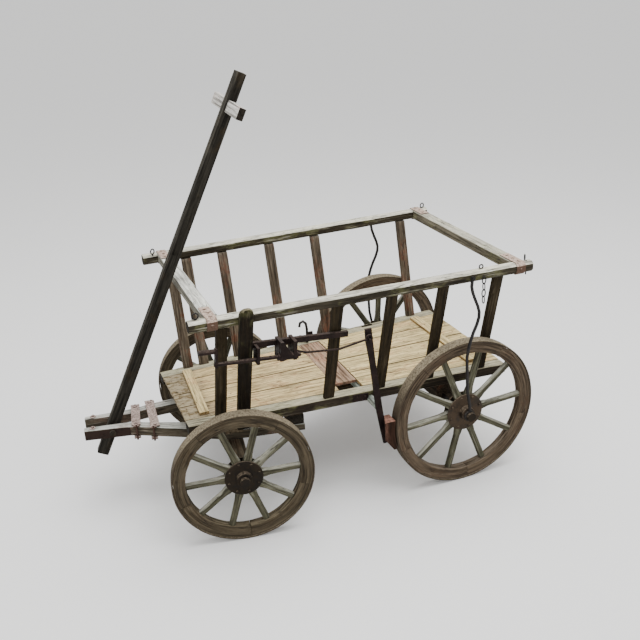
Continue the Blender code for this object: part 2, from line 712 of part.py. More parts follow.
def build_floor(cart, root):
    front, rear = LOW_RAIL_X
    mid_front, mid_rear = MIDDLE_GAP_X
    mesh = loft("deck", [deck_section(front), deck_section(mid_front + GAP)])
    mesh = join(mesh, batten(FRONT_BATTEN))
    middle = (front + mid_front) / 2
    cart.anchored("front_floor_planks", mesh, "pale_wood", root, (middle, 0, DECK_TOP))
    mesh = loft("deck", [deck_section(mid_rear - GAP), deck_section(rear)])
    mesh = join(mesh, batten(REAR_BATTEN))
    cart.anchored("rear_floor_planks", mesh, "pale_wood", root, ((rear + mid_rear) / 2, 0, DECK_TOP))
    half = low_rail_at(mid_front, 1) - LOW_RAIL_SIZE[0] / 2 - GAP
    low, high = (mid_rear, -half, DECK_TOP - DECK_THICK), (mid_front, half - MIDDLE_BOARD_END_GAP, DECK_TOP)
    middle = (mid_front + mid_rear) / 2
    cart.anchored("middle_floor_board", box("board", low, high), "pale_wood", root, (middle, 0, DECK_TOP))


def axle_mesh(track, hub_end, nut_end):
    """Square bar with round ends and end nuts, along Y."""
    stub = track - HUB_INNER_REACH - STUB_GAP
    square = []
    for a, b in circle(1.0, 12, math.pi / 12):
        peak = max(abs(a), abs(b))
        square.append((a / peak * AXLE_BAR_HALF, b / peak * AXLE_BAR_HALF))
    round_ring = circle(AXLE_RADIUS, 12, math.pi / 12)
    nut_ring = circle(AXLE_NUT_RADIUS, 12, math.pi / 12)
    start = hub_end + STEP_APART
    half_plan = [(stub, square), (stub + STEP_APART, round_ring), (start, round_ring),
                 (start, nut_ring), (nut_end + STEP_APART, nut_ring)]
    plan = [(-y, ring) for y, ring in reversed(half_plan)] + half_plan
    return loft("axle", [[(a, y, b) for a, b in ring] for y, ring in plan])


def grooved_block(size, low, high, axle_z):
    """A block across the cart that sits over the square axle bar."""
    half_x, half_y = size[0] / 2, size[1] / 2
    side, top = AXLE_BAR_HALF + GAP, axle_z + AXLE_BAR_HALF + GAP
    outline = ((-half_x, low), (-side, low), (-side, top), (side, top),
               (side, low), (half_x, low), (half_x, high), (-half_x, high))
    return flat("block", [outline], -half_y, half_y)


def build_bolster_and_reach(cart, root):
    half_x, half_y = BOLSTER_SIZE[0] / 2, BOLSTER_SIZE[1] / 2
    low, high = BOLSTER_Z
    mesh = box("bolster", (KING_X - half_x, -half_y, low), (KING_X + half_x, half_y, high))
    cart.anchored("front_bolster", mesh, "brown_wood", root, (KING_X, 0, BOLSTER_Z[0]))

    foot = FRONT_RADIUS - KING_BOLT_DROP
    top = BOLSTER_Z[0] - GAP
    nut_radius, nut_height = KING_NUT
    washer_radius, washer_height = KING_WASHER
    under = top - foot - washer_height
    mesh = drum("king", (KING_X, 0, foot), (KING_X, 0, top),
                ((0, nut_radius), (nut_height, nut_radius), (nut_height, KING_BOLT_RADIUS),
                 (under, KING_BOLT_RADIUS), (under, washer_radius), (top - foot, washer_radius)), 16)
    cart.anchored("king_bolt", mesh, "dark_iron", root, (KING_X, 0, foot), True)

    low, high = REACH_Z
    mesh = box("reach", (REAR_X + REAR_BLOCK_SIZE[0] / 2 + GAP, -REACH_WIDTH / 2, low),
               (KING_X + REACH_PAST_KING, REACH_WIDTH / 2, high))
    mesh = cut(mesh, cylinder("hole", (KING_X, 0, low - CUT_PAST), (KING_X, 0, high + CUT_PAST),
                              KING_BOLT_RADIUS + 2 * GAP, 16))
    cart.anchored("reach_pole", mesh, "brown_wood", root, (0, 0, REACH_Z[1]))


def build_rear_axle(cart, root):
    low = REAR_RADIUS - AXLE_BAR_HALF - BLOCK_SEAT
    high = LOW_RAIL_TOP - LOW_RAIL_SIZE[1] - GAP
    mesh = grooved_block(REAR_BLOCK_SIZE, low, high, REAR_RADIUS)
    mesh.transform(Matrix.Translation((REAR_X, 0, 0)))
    cart.anchored("rear_axle_block", mesh, "dark_wood", root, (REAR_X, 0, high))

    hub_end = REAR_TRACK_HALF + REAR_HUB[1] + REAR_NUT[0]
    mesh = axle_mesh(REAR_TRACK_HALF, hub_end, hub_end + REAR_NUT[1])
    cart.add("rear_axle", mesh, "dark_iron", root, (REAR_X, 0, REAR_RADIUS))


def stay_path(side):
    """Centre line of a stay: from the axle's eye up to the top rail's outer side."""
    rail_y, rail_z = top_rail_at(REAR_X, 1)
    outer = rail_y + TOP_RAIL_SIZE[0] / 2 + STAY_RADIUS + STAY_GAP
    path = [(REAR_X + x, side * STAY_Y, REAR_RADIUS + rise) for x, rise in STAY_LOWER_BENDS]
    low, high = path[-1][2], rail_z + STAY_UPPER_BENDS[-1][1]
    for x, drop in STAY_UPPER_BENDS:
        z = DECK_TOP + TOP_RAIL_RISE[0] + drop
        share = min(1.0, (z - low) / (high - low) * STAY_LEAN_SHARE)
        path.append((REAR_X + x, side * (STAY_Y + (outer - STAY_Y) * share), z))
    return path


def build_stays(cart, root):
    outer, half = STAY_EYE[0], STAY_EYE[1] / 2
    profile = ((BORE_RADIUS, -half), (outer, -half), (outer, half), (BORE_RADIUS, half))
    for side, word in ((1, "left"), (-1, "right")):
        mesh = rod("stay", stay_path(side), STAY_RADIUS)
        ring = turned("eye", profile, 16)
        ring.transform(Matrix.Translation((REAR_X, side * STAY_Y, REAR_RADIUS)))
        mesh = join(mesh, ring)
        cart.anchored(word + "_stay_rod", mesh, "dark_iron", root, (REAR_X, side * STAY_Y, REAR_RADIUS), True)


def build_front_axle(cart, carriage):
    king_hole = KING_BOLT_RADIUS + KING_HOLE_GAP
    low = FRONT_RADIUS - AXLE_BAR_HALF - BLOCK_SEAT
    arm_low = FRONT_RADIUS + ARM_RISE - ARM_HEIGHT / 2
    arm_top = FRONT_RADIUS + ARM_RISE + ARM_HEIGHT / 2
    mesh = grooved_block(FRONT_BEAM_SIZE, low, arm_low - GAP, FRONT_RADIUS)
    mesh = cut(mesh, cylinder("hole", (0, 0, low - CUT_PAST), (0, 0, arm_low + CUT_PAST), king_hole, 16))
    cart.anchored("front_axle_beam", mesh, "brown_wood", carriage, (0, 0, arm_low))

    hub_end = FRONT_TRACK_HALF + FRONT_HUB[1] + FRONT_NUT[0]
    mesh = axle_mesh(FRONT_TRACK_HALF, hub_end, hub_end + FRONT_NUT[1])
    past = 2 * AXLE_BAR_HALF
    mesh = cut(mesh, cylinder("hole", (0, 0, -past), (0, 0, past), king_hole, 16))
    cart.add("front_axle", mesh, "dark_iron", carriage, (0, 0, FRONT_RADIUS))

    high = FRONT_RADIUS + CARRIAGE_BOLSTER_RISE
    half_x, half_y = CARRIAGE_BOLSTER_SIZE[0] / 2, CARRIAGE_BOLSTER_SIZE[1] / 2
    mesh = box("bolster", (-half_x, -half_y, arm_top + GAP), (half_x, half_y, high))
    mesh = cut(mesh, cylinder("hole", (0, 0, arm_top - CUT_PAST), (0, 0, high + CUT_PAST), king_hole, 16))
    cart.anchored("carriage_bolster", mesh, "pale_wood", carriage, (0, 0, high))


def build_fork(cart, carriage):
    pin_x, pin_z = POLE_HINGE
    for side, word in ((1, "left"), (-1, "right")):
        rings = []
        for x, y, rise, width, height in ARM_STATIONS:
            z = FRONT_RADIUS + rise
            rings.append([(x, side * y + a, z + b) for a, b in chamfered(width, height, EDGE)])
        far = side * POLE_PIN_LENGTH
        hole = cylinder("hole", (pin_x, 0, pin_z), (pin_x, far, pin_z), POLE_PIN_HOLE, 16)
        tip = (ARM_STATIONS[0][0], side * ARM_STATIONS[0][1], FRONT_RADIUS + ARM_STATIONS[0][2])
        cart.anchored(word + "_fork_arm", cut(loft("arm", rings), hole), "grey_wood", carriage, tip)

    half_y = SLIDER_SIZE[1] / 2
    mid = FRONT_RADIUS + ARM_RISE + ARM_HEIGHT / 2 + GAP + SLIDER_SIZE[2] / 2
    ends = ((SLIDER_X, -half_y, mid), (SLIDER_X, half_y, mid))
    mesh = beam_y("slider", ends, (SLIDER_SIZE[0], SLIDER_SIZE[2]))
    cart.anchored("slider_bar", mesh, "dark_wood", carriage, (SLIDER_X, 0, mid))

    for name, station, past_arm in FORK_CLIPS:
        x, arm_y, rise, arm_width, arm_height = ARM_STATIONS[station]
        arm_z = FRONT_RADIUS + rise
        bolt_y = arm_y + arm_width / 2 + past_arm
        half_x, half_y = CLIP_WIDTH / 2, bolt_y + CLIP_PAST_BOLT
        near = arm_height / 2 + CLIP_GAP
        far = near + CLIP_THICK
        foot, head = arm_z - near - CLIP_BOLT_ENDS[0], arm_z + near + CLIP_BOLT_ENDS[1]
        mesh = box("plate", (x - half_x, -half_y, arm_z + near), (x + half_x, half_y, arm_z + far))
        for y in (bolt_y, -bolt_y):
            mesh = join(mesh, cylinder("bolt", (x, y, foot), (x, y, head), CLIP_BOLT_RADIUS, 8))
        lower = box("plate", (x - half_x, -half_y, arm_z - far), (x + half_x, half_y, arm_z - near))
        mesh = join(mesh, lower)
        cart.anchored(name, mesh, "rusty_iron", carriage, (x, 0, arm_z))


def pole_lean():
    """Angle at which the pole stands just clear of the front crossbar."""
    steer = math.radians(STEER_REST_DEG)
    hinge_x = KING_X + POLE_HINGE[0] * math.cos(steer)
    behind = (hinge_x - FRONT_BAR_X - BAR_WIDTH / 2) / math.cos(steer)
    above = top_rail_at(FRONT_BAR_X, 1)[1] + TOP_RAIL_SIZE[1] / 2 - POLE_HINGE[1]
    return -(math.atan2(behind, above) - math.asin(POLE_REST_OFFSET / math.hypot(behind, above)))


def build_pole(cart, hinge):
    """The pole turns about local Y; local Z runs up along it."""
    rings = []
    for z, wide, deep, twist in POLE_STATIONS:
        angle = math.radians(POLE_TWIST_DEG) * twist
        turn = Matrix.Rotation(angle, 2)
        rings.append([(*(turn @ Vector(corner)), z) for corner in chamfered(deep, wide, POLE_EDGE)])
    mesh = loft("pole", rings)
    twist = math.radians(POLE_TWIST_DEG) * HANDLE_TWIST_SHARE
    turn = Matrix.Translation((0, 0, HANDLE_AT)) @ Matrix.Rotation(twist, 4, "Z")
    size = [s / 2 + GAP for s in HANDLE_SIZE]
    slot = box("slot", [-s for s in size], size)
    slot.transform(turn)
    mesh = cut(mesh, slot)
    length, half = POLE_PIN_LENGTH, POLE_PIN_LENGTH / 2
    head_radius, head = POLE_PIN_HEAD
    pin = drum("pin", (0, -half, 0), (0, half, 0),
               ((0, head_radius), (head, head_radius), (head, POLE_PIN_RADIUS),
                (length - head, POLE_PIN_RADIUS), (length - head, head_radius), (length, head_radius)), 16)
    cart.add("pole", join(mesh, pin), "dark_wood", hinge)
    size = [s / 2 for s in HANDLE_SIZE]
    mesh = box("handle", [-s for s in size], size)
    mesh.transform(turn)
    cart.add("pole_handle", mesh, "mint_wood", hinge)


def build_brake_levers(cart, root):
    shaft = cart.empty("brake_shaft_axis", root, (SHAFT_X, 0, SHAFT_Z))
    near, far = LEVER_Y
    mesh = cylinder("shaft", (0, -near + GAP, 0), (0, near - GAP, 0), SHAFT_RADIUS, 16)
    cart.add("brake_shaft", mesh, "mint_wood", shaft, round_shape=True)

    rim = REAR_RADIUS + BRAKE_GAP
    face = []
    for rise in BLOCK_FACE_RISES:
        x = REAR_X + math.sqrt(rim * rim - rise * rise)
        face.append((x - SHAFT_X, REAR_RADIUS + rise - SHAFT_Z))
    heights = (face[-1][1], face[-1][1] + BLOCK_BACK_BEND, face[0][1])
    for side, word, stations in ((1, "left", LONG_LEVER), (-1, "right", SHORT_LEVER)):
        outline = [(dx - half, dz) for dx, dz, half in stations]
        outline += [(dx + half, dz) for dx, dz, half in reversed(stations)]
        mesh = flat("lever", [outline], *sorted((side * near, side * far)))
        if side > 0:
            pin_x, pin_z = LEVER_PIN
            start, end = near + LEVER_PIN_INSET, far + LEVER_PIN_PAST
            pin = cylinder("pin", (pin_x, start, pin_z), (pin_x, end, pin_z), LEVER_PIN_RADIUS, 8)
            mesh = join(mesh, pin)
        cart.add(word + "_brake_lever", mesh, "dark_iron", shaft)
        rings = []
        for y, back in zip((far + GAP, BLOCK_OUTER_Y), BLOCK_BACK):
            rings.append([(a, side * y, b) for a, b in face + list(zip(back, heights))])
        cart.add(word + "_brake_block", loft("block", rings), "block_wood", shaft)


def oval(radius, rise, count):
    """Outline of an upright slot: two half circles, one a little above the other."""
    step = math.pi / count
    upper = [(radius * math.cos(i * step), radius * math.sin(i * step) + rise) for i in range(count + 1)]
    return upper + [(-x, rise - z) for x, z in upper]


def build_brake_screw(cart, root):
    tilt = math.radians(-SCREW_TILT_DEG)
    gx, gy, gz = GUIDE_CENTRE
    half_w, half_h = GUIDE_SIZE[0] / 2, GUIDE_SIZE[1] / 2
    ahead = SCREW_CENTRE[0] - gx
    # The guide bar's line seen from the screw's: outwards and upwards
    out = SCREW_CENTRE[1] - gy
    rise = (gz - SCREW_CENTRE[2] + ahead * math.tan(-tilt)) * math.cos(tilt)

    mesh = beam_x("guide", ((GUIDE_ENDS[0], 0, 0), (GUIDE_ENDS[1], 0, 0)), GUIDE_SIZE, 0.001)
    front, back = GUIDE_BEARING_X
    low, high = (front, half_w / 3, -rise - BEARING_WALL), (back, out + BEARING_WALL, half_h / 2)
    mesh = join(mesh, box("bearing", low, high))
    bore = cylinder("bore", (front - CUT_PAST, out, -rise), (back + CUT_PAST, out, -rise),
                    SCREW_RADIUS + BEARING_GAP, 16)
    cart.add("brake_guide_bar", cut(mesh, bore), "dark_iron", root, GUIDE_CENTRE, (0, tilt, 0))

    screw = cart.empty("brake_screw_axis", root, SCREW_CENTRE, (0, tilt, 0))
    mesh = cylinder("screw", (SCREW_ENDS[0], 0, 0), (SCREW_ENDS[1], 0, 0), SCREW_RADIUS, 12)
    low, high = CRANK_ARM
    mesh = join(mesh, box("crank", low, high))
    grip_z, grip_radius, grip_end = CRANK_GRIP
    mesh = join(mesh, cylinder("grip", (low[0] + 0.001, 0, grip_z), (grip_end, 0, grip_z), grip_radius, 10))
    cart.add("brake_crank", mesh, "dark_iron", screw)

    nut = cart.empty("brake_nut_axis", root, SCREW_CENTRE, (0, tilt, 0))
    inner, outer = NUT_RADII
    profile = ((inner, -NUT_HALF), (outer, -NUT_HALF), (outer, NUT_HALF), (inner, NUT_HALF))
    mesh = turned("sleeve", profile, 16)
    mesh.transform(Matrix.Translation((NUT_AT, 0, 0)) @ Matrix.Rotation(math.pi / 2, 4, "Z"))
    for x in (NUT_AT + NUT_BAND_APART, NUT_AT - NUT_BAND_APART):
        half = NUT_BAND_WIDTH / 2
        side, top = half_w + SLIDE_GAP + NUT_BAND_WALL, half_h + SLIDE_GAP + NUT_BAND_WALL
        band = box("band", (x - half, -out - side, -outer + 0.001), (x + half, outer, rise + top))
        inside = box("inside", (x - 2 * half, -out - half_w - SLIDE_GAP, rise - half_h - SLIDE_GAP),
                     (x + 2 * half, -out + half_w + SLIDE_GAP, rise + half_h + SLIDE_GAP))
        band = cut(band, inside)
        middle = (inner + outer) / 2
        band = cut(band, cylinder("bore", (x - 2 * half, 0, 0), (x + 2 * half, 0, 0), middle, 16))
        mesh = join(mesh, band)

    pin_x, pin_z = LEVER_PIN
    eye = Vector((SHAFT_X + pin_x, LEVER_Y[1] + ROD_EYE_OUT, SHAFT_Z + pin_z))
    eye_at = Matrix.Rotation(-tilt, 3, "Y") @ (eye - Vector(SCREW_CENTRE))
    path = [Vector(p) for p in ROD_BENDS]
    path.append(eye_at + Vector((sum(ROD_EYE_RADII) / 2, 0, 0)))
    mesh = join(mesh, rod("rod", path, ROD_RADIUS))
    outlines = [oval(radius, ROD_EYE_RISE, 8) for radius in reversed(ROD_EYE_RADII)]
    ring = flat("eye", outlines, -ROD_EYE_HALF, ROD_EYE_HALF)
    ring.transform(Matrix.Translation(eye_at))
    cart.add("brake_nut_and_rod", join(mesh, ring), "dark_iron", nut)


def chain_mesh(links, length, width, wire):
    """Linked oval rings hanging down from the origin, each touching the next."""
    ring = [(a * width / 2, 0, b * length / 2) for a, b in circle(1.0, 12)]
    whole = None
    for i in range(links):
        link = rod("link", ring, wire, closed=True, resolution=1)
        drop = -length / 2 - i * (length - wire * CHAIN_HOLD)
        quarter = Matrix.Rotation(math.pi / 2 * (i % 2), 4, "Z")
        link.transform(Matrix.Translation((0, 0, drop)) @ quarter)
        whole = link if whole is None else join(whole, link)
    return whole


def build_chain(cart, root):
    rail_y, rail_z = top_rail_at(CHAIN_X, 1)
    place = (CHAIN_X, rail_y + TOP_RAIL_SIZE[0] / 2 + CHAIN_OUT[0], rail_z + CHAIN_OUT[1])
    cart.add("hanging_chain", chain_mesh(CHAIN_LINKS, *CHAIN_LINK), "dark_iron", root, place)


def shift_to_centre(cart, root):
    """Puts the middle of the cart's plan over the origin."""
    bpy.context.view_layer.update()
    low, high = Vector((9, 9, 9)), Vector((-9, -9, -9))
    for item in cart.made.values():
        for vert in item.data.vertices:
            place = item.matrix_world @ vert.co
            for i in range(3):
                low[i] = min(low[i], place[i])
                high[i] = max(high[i], place[i])
    root.location = (-(low.x + high.x) / 2, -(low.y + high.y) / 2, 0)
    bpy.context.view_layer.update()


def main():
    clear_scene()
    cart = Cart()
    root = cart.empty("cart")
    carriage = cart.empty("steering_axis", root, (KING_X, 0, 0), (0, 0, math.radians(STEER_REST_DEG)))
    hinge = cart.empty("pole_axis", carriage, (POLE_HINGE[0], 0, POLE_HINGE[1]), (0, pole_lean(), 0))
    build_wheels(cart, root, carriage)
    build_sides(cart, root)
    build_floor(cart, root)
    build_crossbars(cart, root)
    build_bolster_and_reach(cart, root)
    build_rear_axle(cart, root)
    build_stays(cart, root)
    build_front_axle(cart, carriage)
    build_fork(cart, carriage)
    build_pole(cart, hinge)
    build_brake_levers(cart, root)
    build_brake_screw(cart, root)
    build_chain(cart, root)
    shift_to_centre(cart, root)
    return cart


if __name__ == "__main__":
    main()
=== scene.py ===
"""Looks of a weathered wooden ladder cart: worn beams and planks, spoked wheels
with iron tyres, rusted straps, screw brake, chain and stays, on a pale floor.

Metres, +X towards the pole, +Y to the cart's left, +Z up, ground at z = 0.
"""
import math

import bmesh
import bpy
from bpy.props import FloatProperty, FloatVectorProperty, IntProperty, PointerProperty
from mathutils import Matrix, Vector, noise


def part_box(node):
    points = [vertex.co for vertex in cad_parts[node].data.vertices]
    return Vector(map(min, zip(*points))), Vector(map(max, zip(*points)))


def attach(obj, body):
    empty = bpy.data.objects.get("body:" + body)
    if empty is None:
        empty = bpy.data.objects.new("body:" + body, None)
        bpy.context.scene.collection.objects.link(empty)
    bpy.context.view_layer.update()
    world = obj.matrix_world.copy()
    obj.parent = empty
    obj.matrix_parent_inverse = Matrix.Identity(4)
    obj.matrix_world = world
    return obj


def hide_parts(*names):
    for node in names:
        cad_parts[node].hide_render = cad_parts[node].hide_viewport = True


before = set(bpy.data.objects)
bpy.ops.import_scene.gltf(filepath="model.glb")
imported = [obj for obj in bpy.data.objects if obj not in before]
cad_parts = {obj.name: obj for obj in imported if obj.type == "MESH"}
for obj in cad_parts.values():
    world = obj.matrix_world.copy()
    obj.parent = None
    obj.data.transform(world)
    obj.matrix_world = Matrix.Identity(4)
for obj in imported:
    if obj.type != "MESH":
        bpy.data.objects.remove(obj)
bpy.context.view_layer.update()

bl_info = {
    "name": "Weathered Ladder Cart",
    "version": (1, 0, 0),
    "blender": (4, 5, 0),
    "location": "View3D > Sidebar > Ladder Cart",
    "description": "Worn wood, rusted iron and fittings of a wooden ladder cart",
    "category": "Object",
}

BODY = "cart_body"
CARRIAGE = "front_carriage"
POLE = "towing_pole"
LINKAGE = "brake_linkage"

# Lines of the ladder sides: x at both ends, y and z there
RAIL_X = (0.40983, -0.66617)
TOP_RAIL_Y = (0.308, 0.336)
TOP_RAIL_Z = (0.7126, 0.7165)
TOP_RAIL_HALF = (0.0165, 0.017)
LOW_RAIL_X = (0.41683, -0.64617)
LOW_RAIL_Y = (0.178, 0.240)
LOW_RAIL_HALF = 0.021
DECK_TOP = 0.347
DECK_LOW = 0.336
PLANK_SEAMS = (-0.56, -0.08, 0.40)
FORWARD, LEFT, UP = Vector((1, 0, 0)), Vector((0, 1, 0)), Vector((0, 0, 1))
# The front carriage as it is steered: its middle, its way ahead and across
KING = Vector((0.242733, 0, 0))
AHEAD = Vector((0.987524, -0.157469, 0))
ACROSS = Vector((0.157469, 0.987524, 0))


def colour(red, green, blue):
    """Display values from 0 to 255 as the linear colour that shaders take."""
    out = []
    for value in (red, green, blue):
        part = value / 255
        out.append(part / 12.92 if part <= 0.04045 else ((part + 0.055) / 1.055) ** 2.4)
    return (*out, 1.0)


def colour_property(name, description, shown):
    return FloatVectorProperty(name=name, description=description, subtype="COLOR", size=4,
                               min=0.0, max=1.0, default=colour(*shown))


class CartWood(bpy.types.PropertyGroup):
    # Side colours: the wood's own tone darkened as painted shade of the side faces; the paler tops, bleached
    # and with painted top light, are set in WOOD below.
    rail: colour_property("Top rail", "Grey brown of the top rails' sides", (66, 60, 48))
    slat: colour_property("Far slats", "Grey brown of the right side's slats", (102, 90, 75))
    # Painted shade: the near slats are a darker copy of the far slats' colour, standing in for the shade on
    # their outer faces.
    near_slat: colour_property("Near slats", "Dark brown of the left side's slats", (52, 43, 28))
    stake: colour_property("Stake", "Very dark brown of the stake", (30, 23, 13))
    floor: colour_property("Floor", "Dry cream brown of the floor planks", (186, 156, 108))
    floor_end: colour_property("Plank ends", "Grey of the split plank ends", (172, 162, 138))
    end_grain: colour_property("End grain", "Near black of cut beam ends", (48, 43, 36))
    low_rail: colour_property("Lower rail", "Dark brown of the lower rails' sides", (60, 52, 42))
    middle_board: colour_property("Middle board", "Pinkish brown of the board across", (158, 126, 102))
    front_bar: colour_property("Front crossbar", "Pale grey of the front crossbar", (150, 146, 132))
    rear_bar: colour_property("Rear crossbar", "Grey of the rear crossbar", (128, 121, 104))
    beam: colour_property("Beams", "Brown of the beams below the floor", (62, 52, 40))
    bolster: colour_property("Bolster", "Pale brown of the carriage bolster", (122, 108, 86))
    arm: colour_property("Fork arms", "Grey of the fork arms' sides", (90, 82, 68))
    pole: colour_property("Pole", "Near black brown of the pole", (50, 47, 41))
    handle: colour_property("Pole handle", "Bleached white of the pole's handle", (214, 208, 198))
    felloe: colour_property("Front felloes", "Olive brown of the front rims", (86, 76, 60))
    rear_felloe: colour_property("Rear felloes", "Taupe of the rear rims", (98, 84, 68))
    spoke: colour_property("Spokes", "Grey green of the spokes", (92, 89, 72))
    shaft: colour_property("Brake shaft", "Faded mint of the brake shaft", (186, 196, 182))
    block: colour_property("Brake block", "Red brown of the brake blocks", (54, 34, 23))
    wear_depth: FloatProperty(name="Wear depth", description="How far weather has eaten into the wood",
                              default=0.0007, min=0.0, max=0.003, unit="LENGTH")
    edge_round: FloatProperty(name="Edge rounding", description="Radius of the worn edges",
                              default=0.0016, min=0.0003, max=0.004, unit="LENGTH")
    slice_length: FloatProperty(name="Slice length", description="Distance between the rings of a worn beam",
                                default=0.016, min=0.005, max=0.05, unit="LENGTH")
    seam: FloatProperty(name="Plank seam", description="Open width between two floor planks",
                        default=0.0024, min=0.0005, max=0.006, unit="LENGTH")


class CartIron(bpy.types.PropertyGroup):
    tyre: colour_property("Tyre", "Worn taupe of the iron tyres", (66, 57, 46))
    hub: colour_property("Front hub", "Dark rust of the front hub plates", (36, 30, 22))
    rear_hub: colour_property("Rear hub", "Rust brown of the rear hub plates", (64, 53, 42))
    strap: colour_property("Strap", "Brown rust of the corner straps", (88, 68, 56))
    clip: colour_property("Fork clip", "Brown rust of the fork's clips", (68, 50, 43))
    brake: colour_property("Brake", "Purple brown of the brake iron", (40, 30, 27))
    stay: colour_property("Stay", "Dark grey of the stay rods", (54, 51, 49))
    bolt: colour_property("Bolts", "Rust of nails and small bolts", (82, 62, 50))
    shoe: colour_property("Shoe", "Dark rust of the shoe on the left arm's side", (44, 33, 28))
    strap_thickness: FloatProperty(name="Strap thickness", description="Thickness of the corner straps",
                                   default=0.0024, min=0.001, max=0.004, unit="LENGTH")
    bolt_radius: FloatProperty(name="Bolt radius", description="Radius of the hub plate bolts",
                               default=0.0042, min=0.002, max=0.006, unit="LENGTH")
    hub_bolts: IntProperty(name="Hub bolts", description="Bolts round each hub plate",
                           default=8, min=4, max=10)


class CartStage(bpy.types.PropertyGroup):
    floor_colour: colour_property("Floor", "Pale studio floor", (252, 252, 251))
    lens: FloatProperty(name="Lens", description="Focal length of the camera in millimetres",
                        default=47.39, min=20.0, max=120.0)
    key_power: FloatProperty(name="Key light", description="Strength of the soft light overhead",
                             default=130.0, min=0.0, max=2000.0)
    fill_power: FloatProperty(name="Fill light", description="Strength of the soft light in front",
                              default=30.0, min=0.0, max=2000.0)
    sky: FloatProperty(name="Surround", description="Strength of the even light from all round",
                       default=1.0, min=0.0, max=5.0)


def settings(kind):
    return getattr(bpy.context.scene, "cart_" + kind)


# Node helpers


def link(tree, a, b):
    tree.links.new(a, b)


def node(tree, kind, **values):
    made = tree.nodes.new(kind)
    for key, value in values.items():
        setattr(made, key, value)
    return made


def math_node(tree, operation, a, b=None, clamp=False):
    made = node(tree, "ShaderNodeMath", operation=operation, use_clamp=clamp)
    for socket, value in ((made.inputs[0], a), (made.inputs[1], b)):
        if value is None:
            continue
        if isinstance(value, (int, float)):
            socket.default_value = value
        else:
            link(tree, value, socket)
    return made.outputs[0]


def times(tree, a, b):
    return math_node(tree, "MULTIPLY", a, b)


def plus(tree, a, b):
    return math_node(tree, "ADD", a, b)


def minus(tree, a, b, clamp=False):
    return math_node(tree, "SUBTRACT", a, b, clamp)


def remap(tree, value, low, high, to_low=0.0, to_high=1.0, smooth=False):
    made = node(tree, "ShaderNodeMapRange", clamp=True)
    if smooth:
        made.interpolation_type = "SMOOTHSTEP"
    link(tree, value, made.inputs["Value"])
    made.inputs["From Min"].default_value = low
    made.inputs["From Max"].default_value = high
    made.inputs["To Min"].default_value = to_low
    made.inputs["To Max"].default_value = to_high
    return made.outputs["Result"]


def mix_colour(tree, factor, a, b):
    made = node(tree, "ShaderNodeMix", data_type="RGBA", clamp_factor=True)
    for socket, value in ((made.inputs[0], factor), (made.inputs[6], a), (made.inputs[7], b)):
        if isinstance(value, (int, float, tuple)):
            socket.default_value = value
        else:
            link(tree, value, socket)
    return made.outputs[2]


def stretched_noise(tree, place, scale, detail=3.0, rough=0.55, distortion=0.0):
    """Noise at a scale per metre along and across the grain."""
    mapping = node(tree, "ShaderNodeMapping", vector_type="POINT")
    mapping.inputs["Scale"].default_value = scale
    link(tree, place, mapping.inputs["Vector"])
    made = node(tree, "ShaderNodeTexNoise")
    made.inputs["Scale"].default_value = 1.0
    made.inputs["Detail"].default_value = detail
    made.inputs["Roughness"].default_value = rough
    made.inputs["Distortion"].default_value = distortion
    link(tree, mapping.outputs[0], made.inputs["Vector"])
    return made.outputs["Fac"]


def upward(tree):
    """How far the surface faces up in the piece's own rest position, -1 to 1."""
    geometry = node(tree, "ShaderNodeNewGeometry")
    turn = node(tree, "ShaderNodeVectorTransform", vector_type="NORMAL",
                convert_from="WORLD", convert_to="OBJECT")
    link(tree, geometry.outputs["Normal"], turn.inputs[0])
    split = node(tree, "ShaderNodeSeparateXYZ")
    link(tree, turn.outputs[0], split.inputs[0])
    return split.outputs["Z"]


def new_group(name, inputs, outputs):
    tree = bpy.data.node_groups.new(name, "ShaderNodeTree")
    kinds = {"colour": "NodeSocketColor", "value": "NodeSocketFloat", "vector": "NodeSocketVector"}
    for label, kind, default in inputs:
        socket = tree.interface.new_socket(label, in_out="INPUT", socket_type=kinds[kind])
        if default is not None:
            socket.default_value = default
    for label, kind in outputs:
        tree.interface.new_socket(label, in_out="OUTPUT", socket_type=kinds[kind])
    return tree, node(tree, "NodeGroupInput").outputs, node(tree, "NodeGroupOutput").inputs


# Linear colours deep in cracks, of the painted shade between planks, and in the pits of rust
CRACK_BLACK = (0.012, 0.009, 0.007, 1.0)
SEAM_SHADE_BLACK = (0.02, 0.016, 0.011, 1.0)
PIT_BROWN = (0.02, 0.014, 0.012, 1.0)


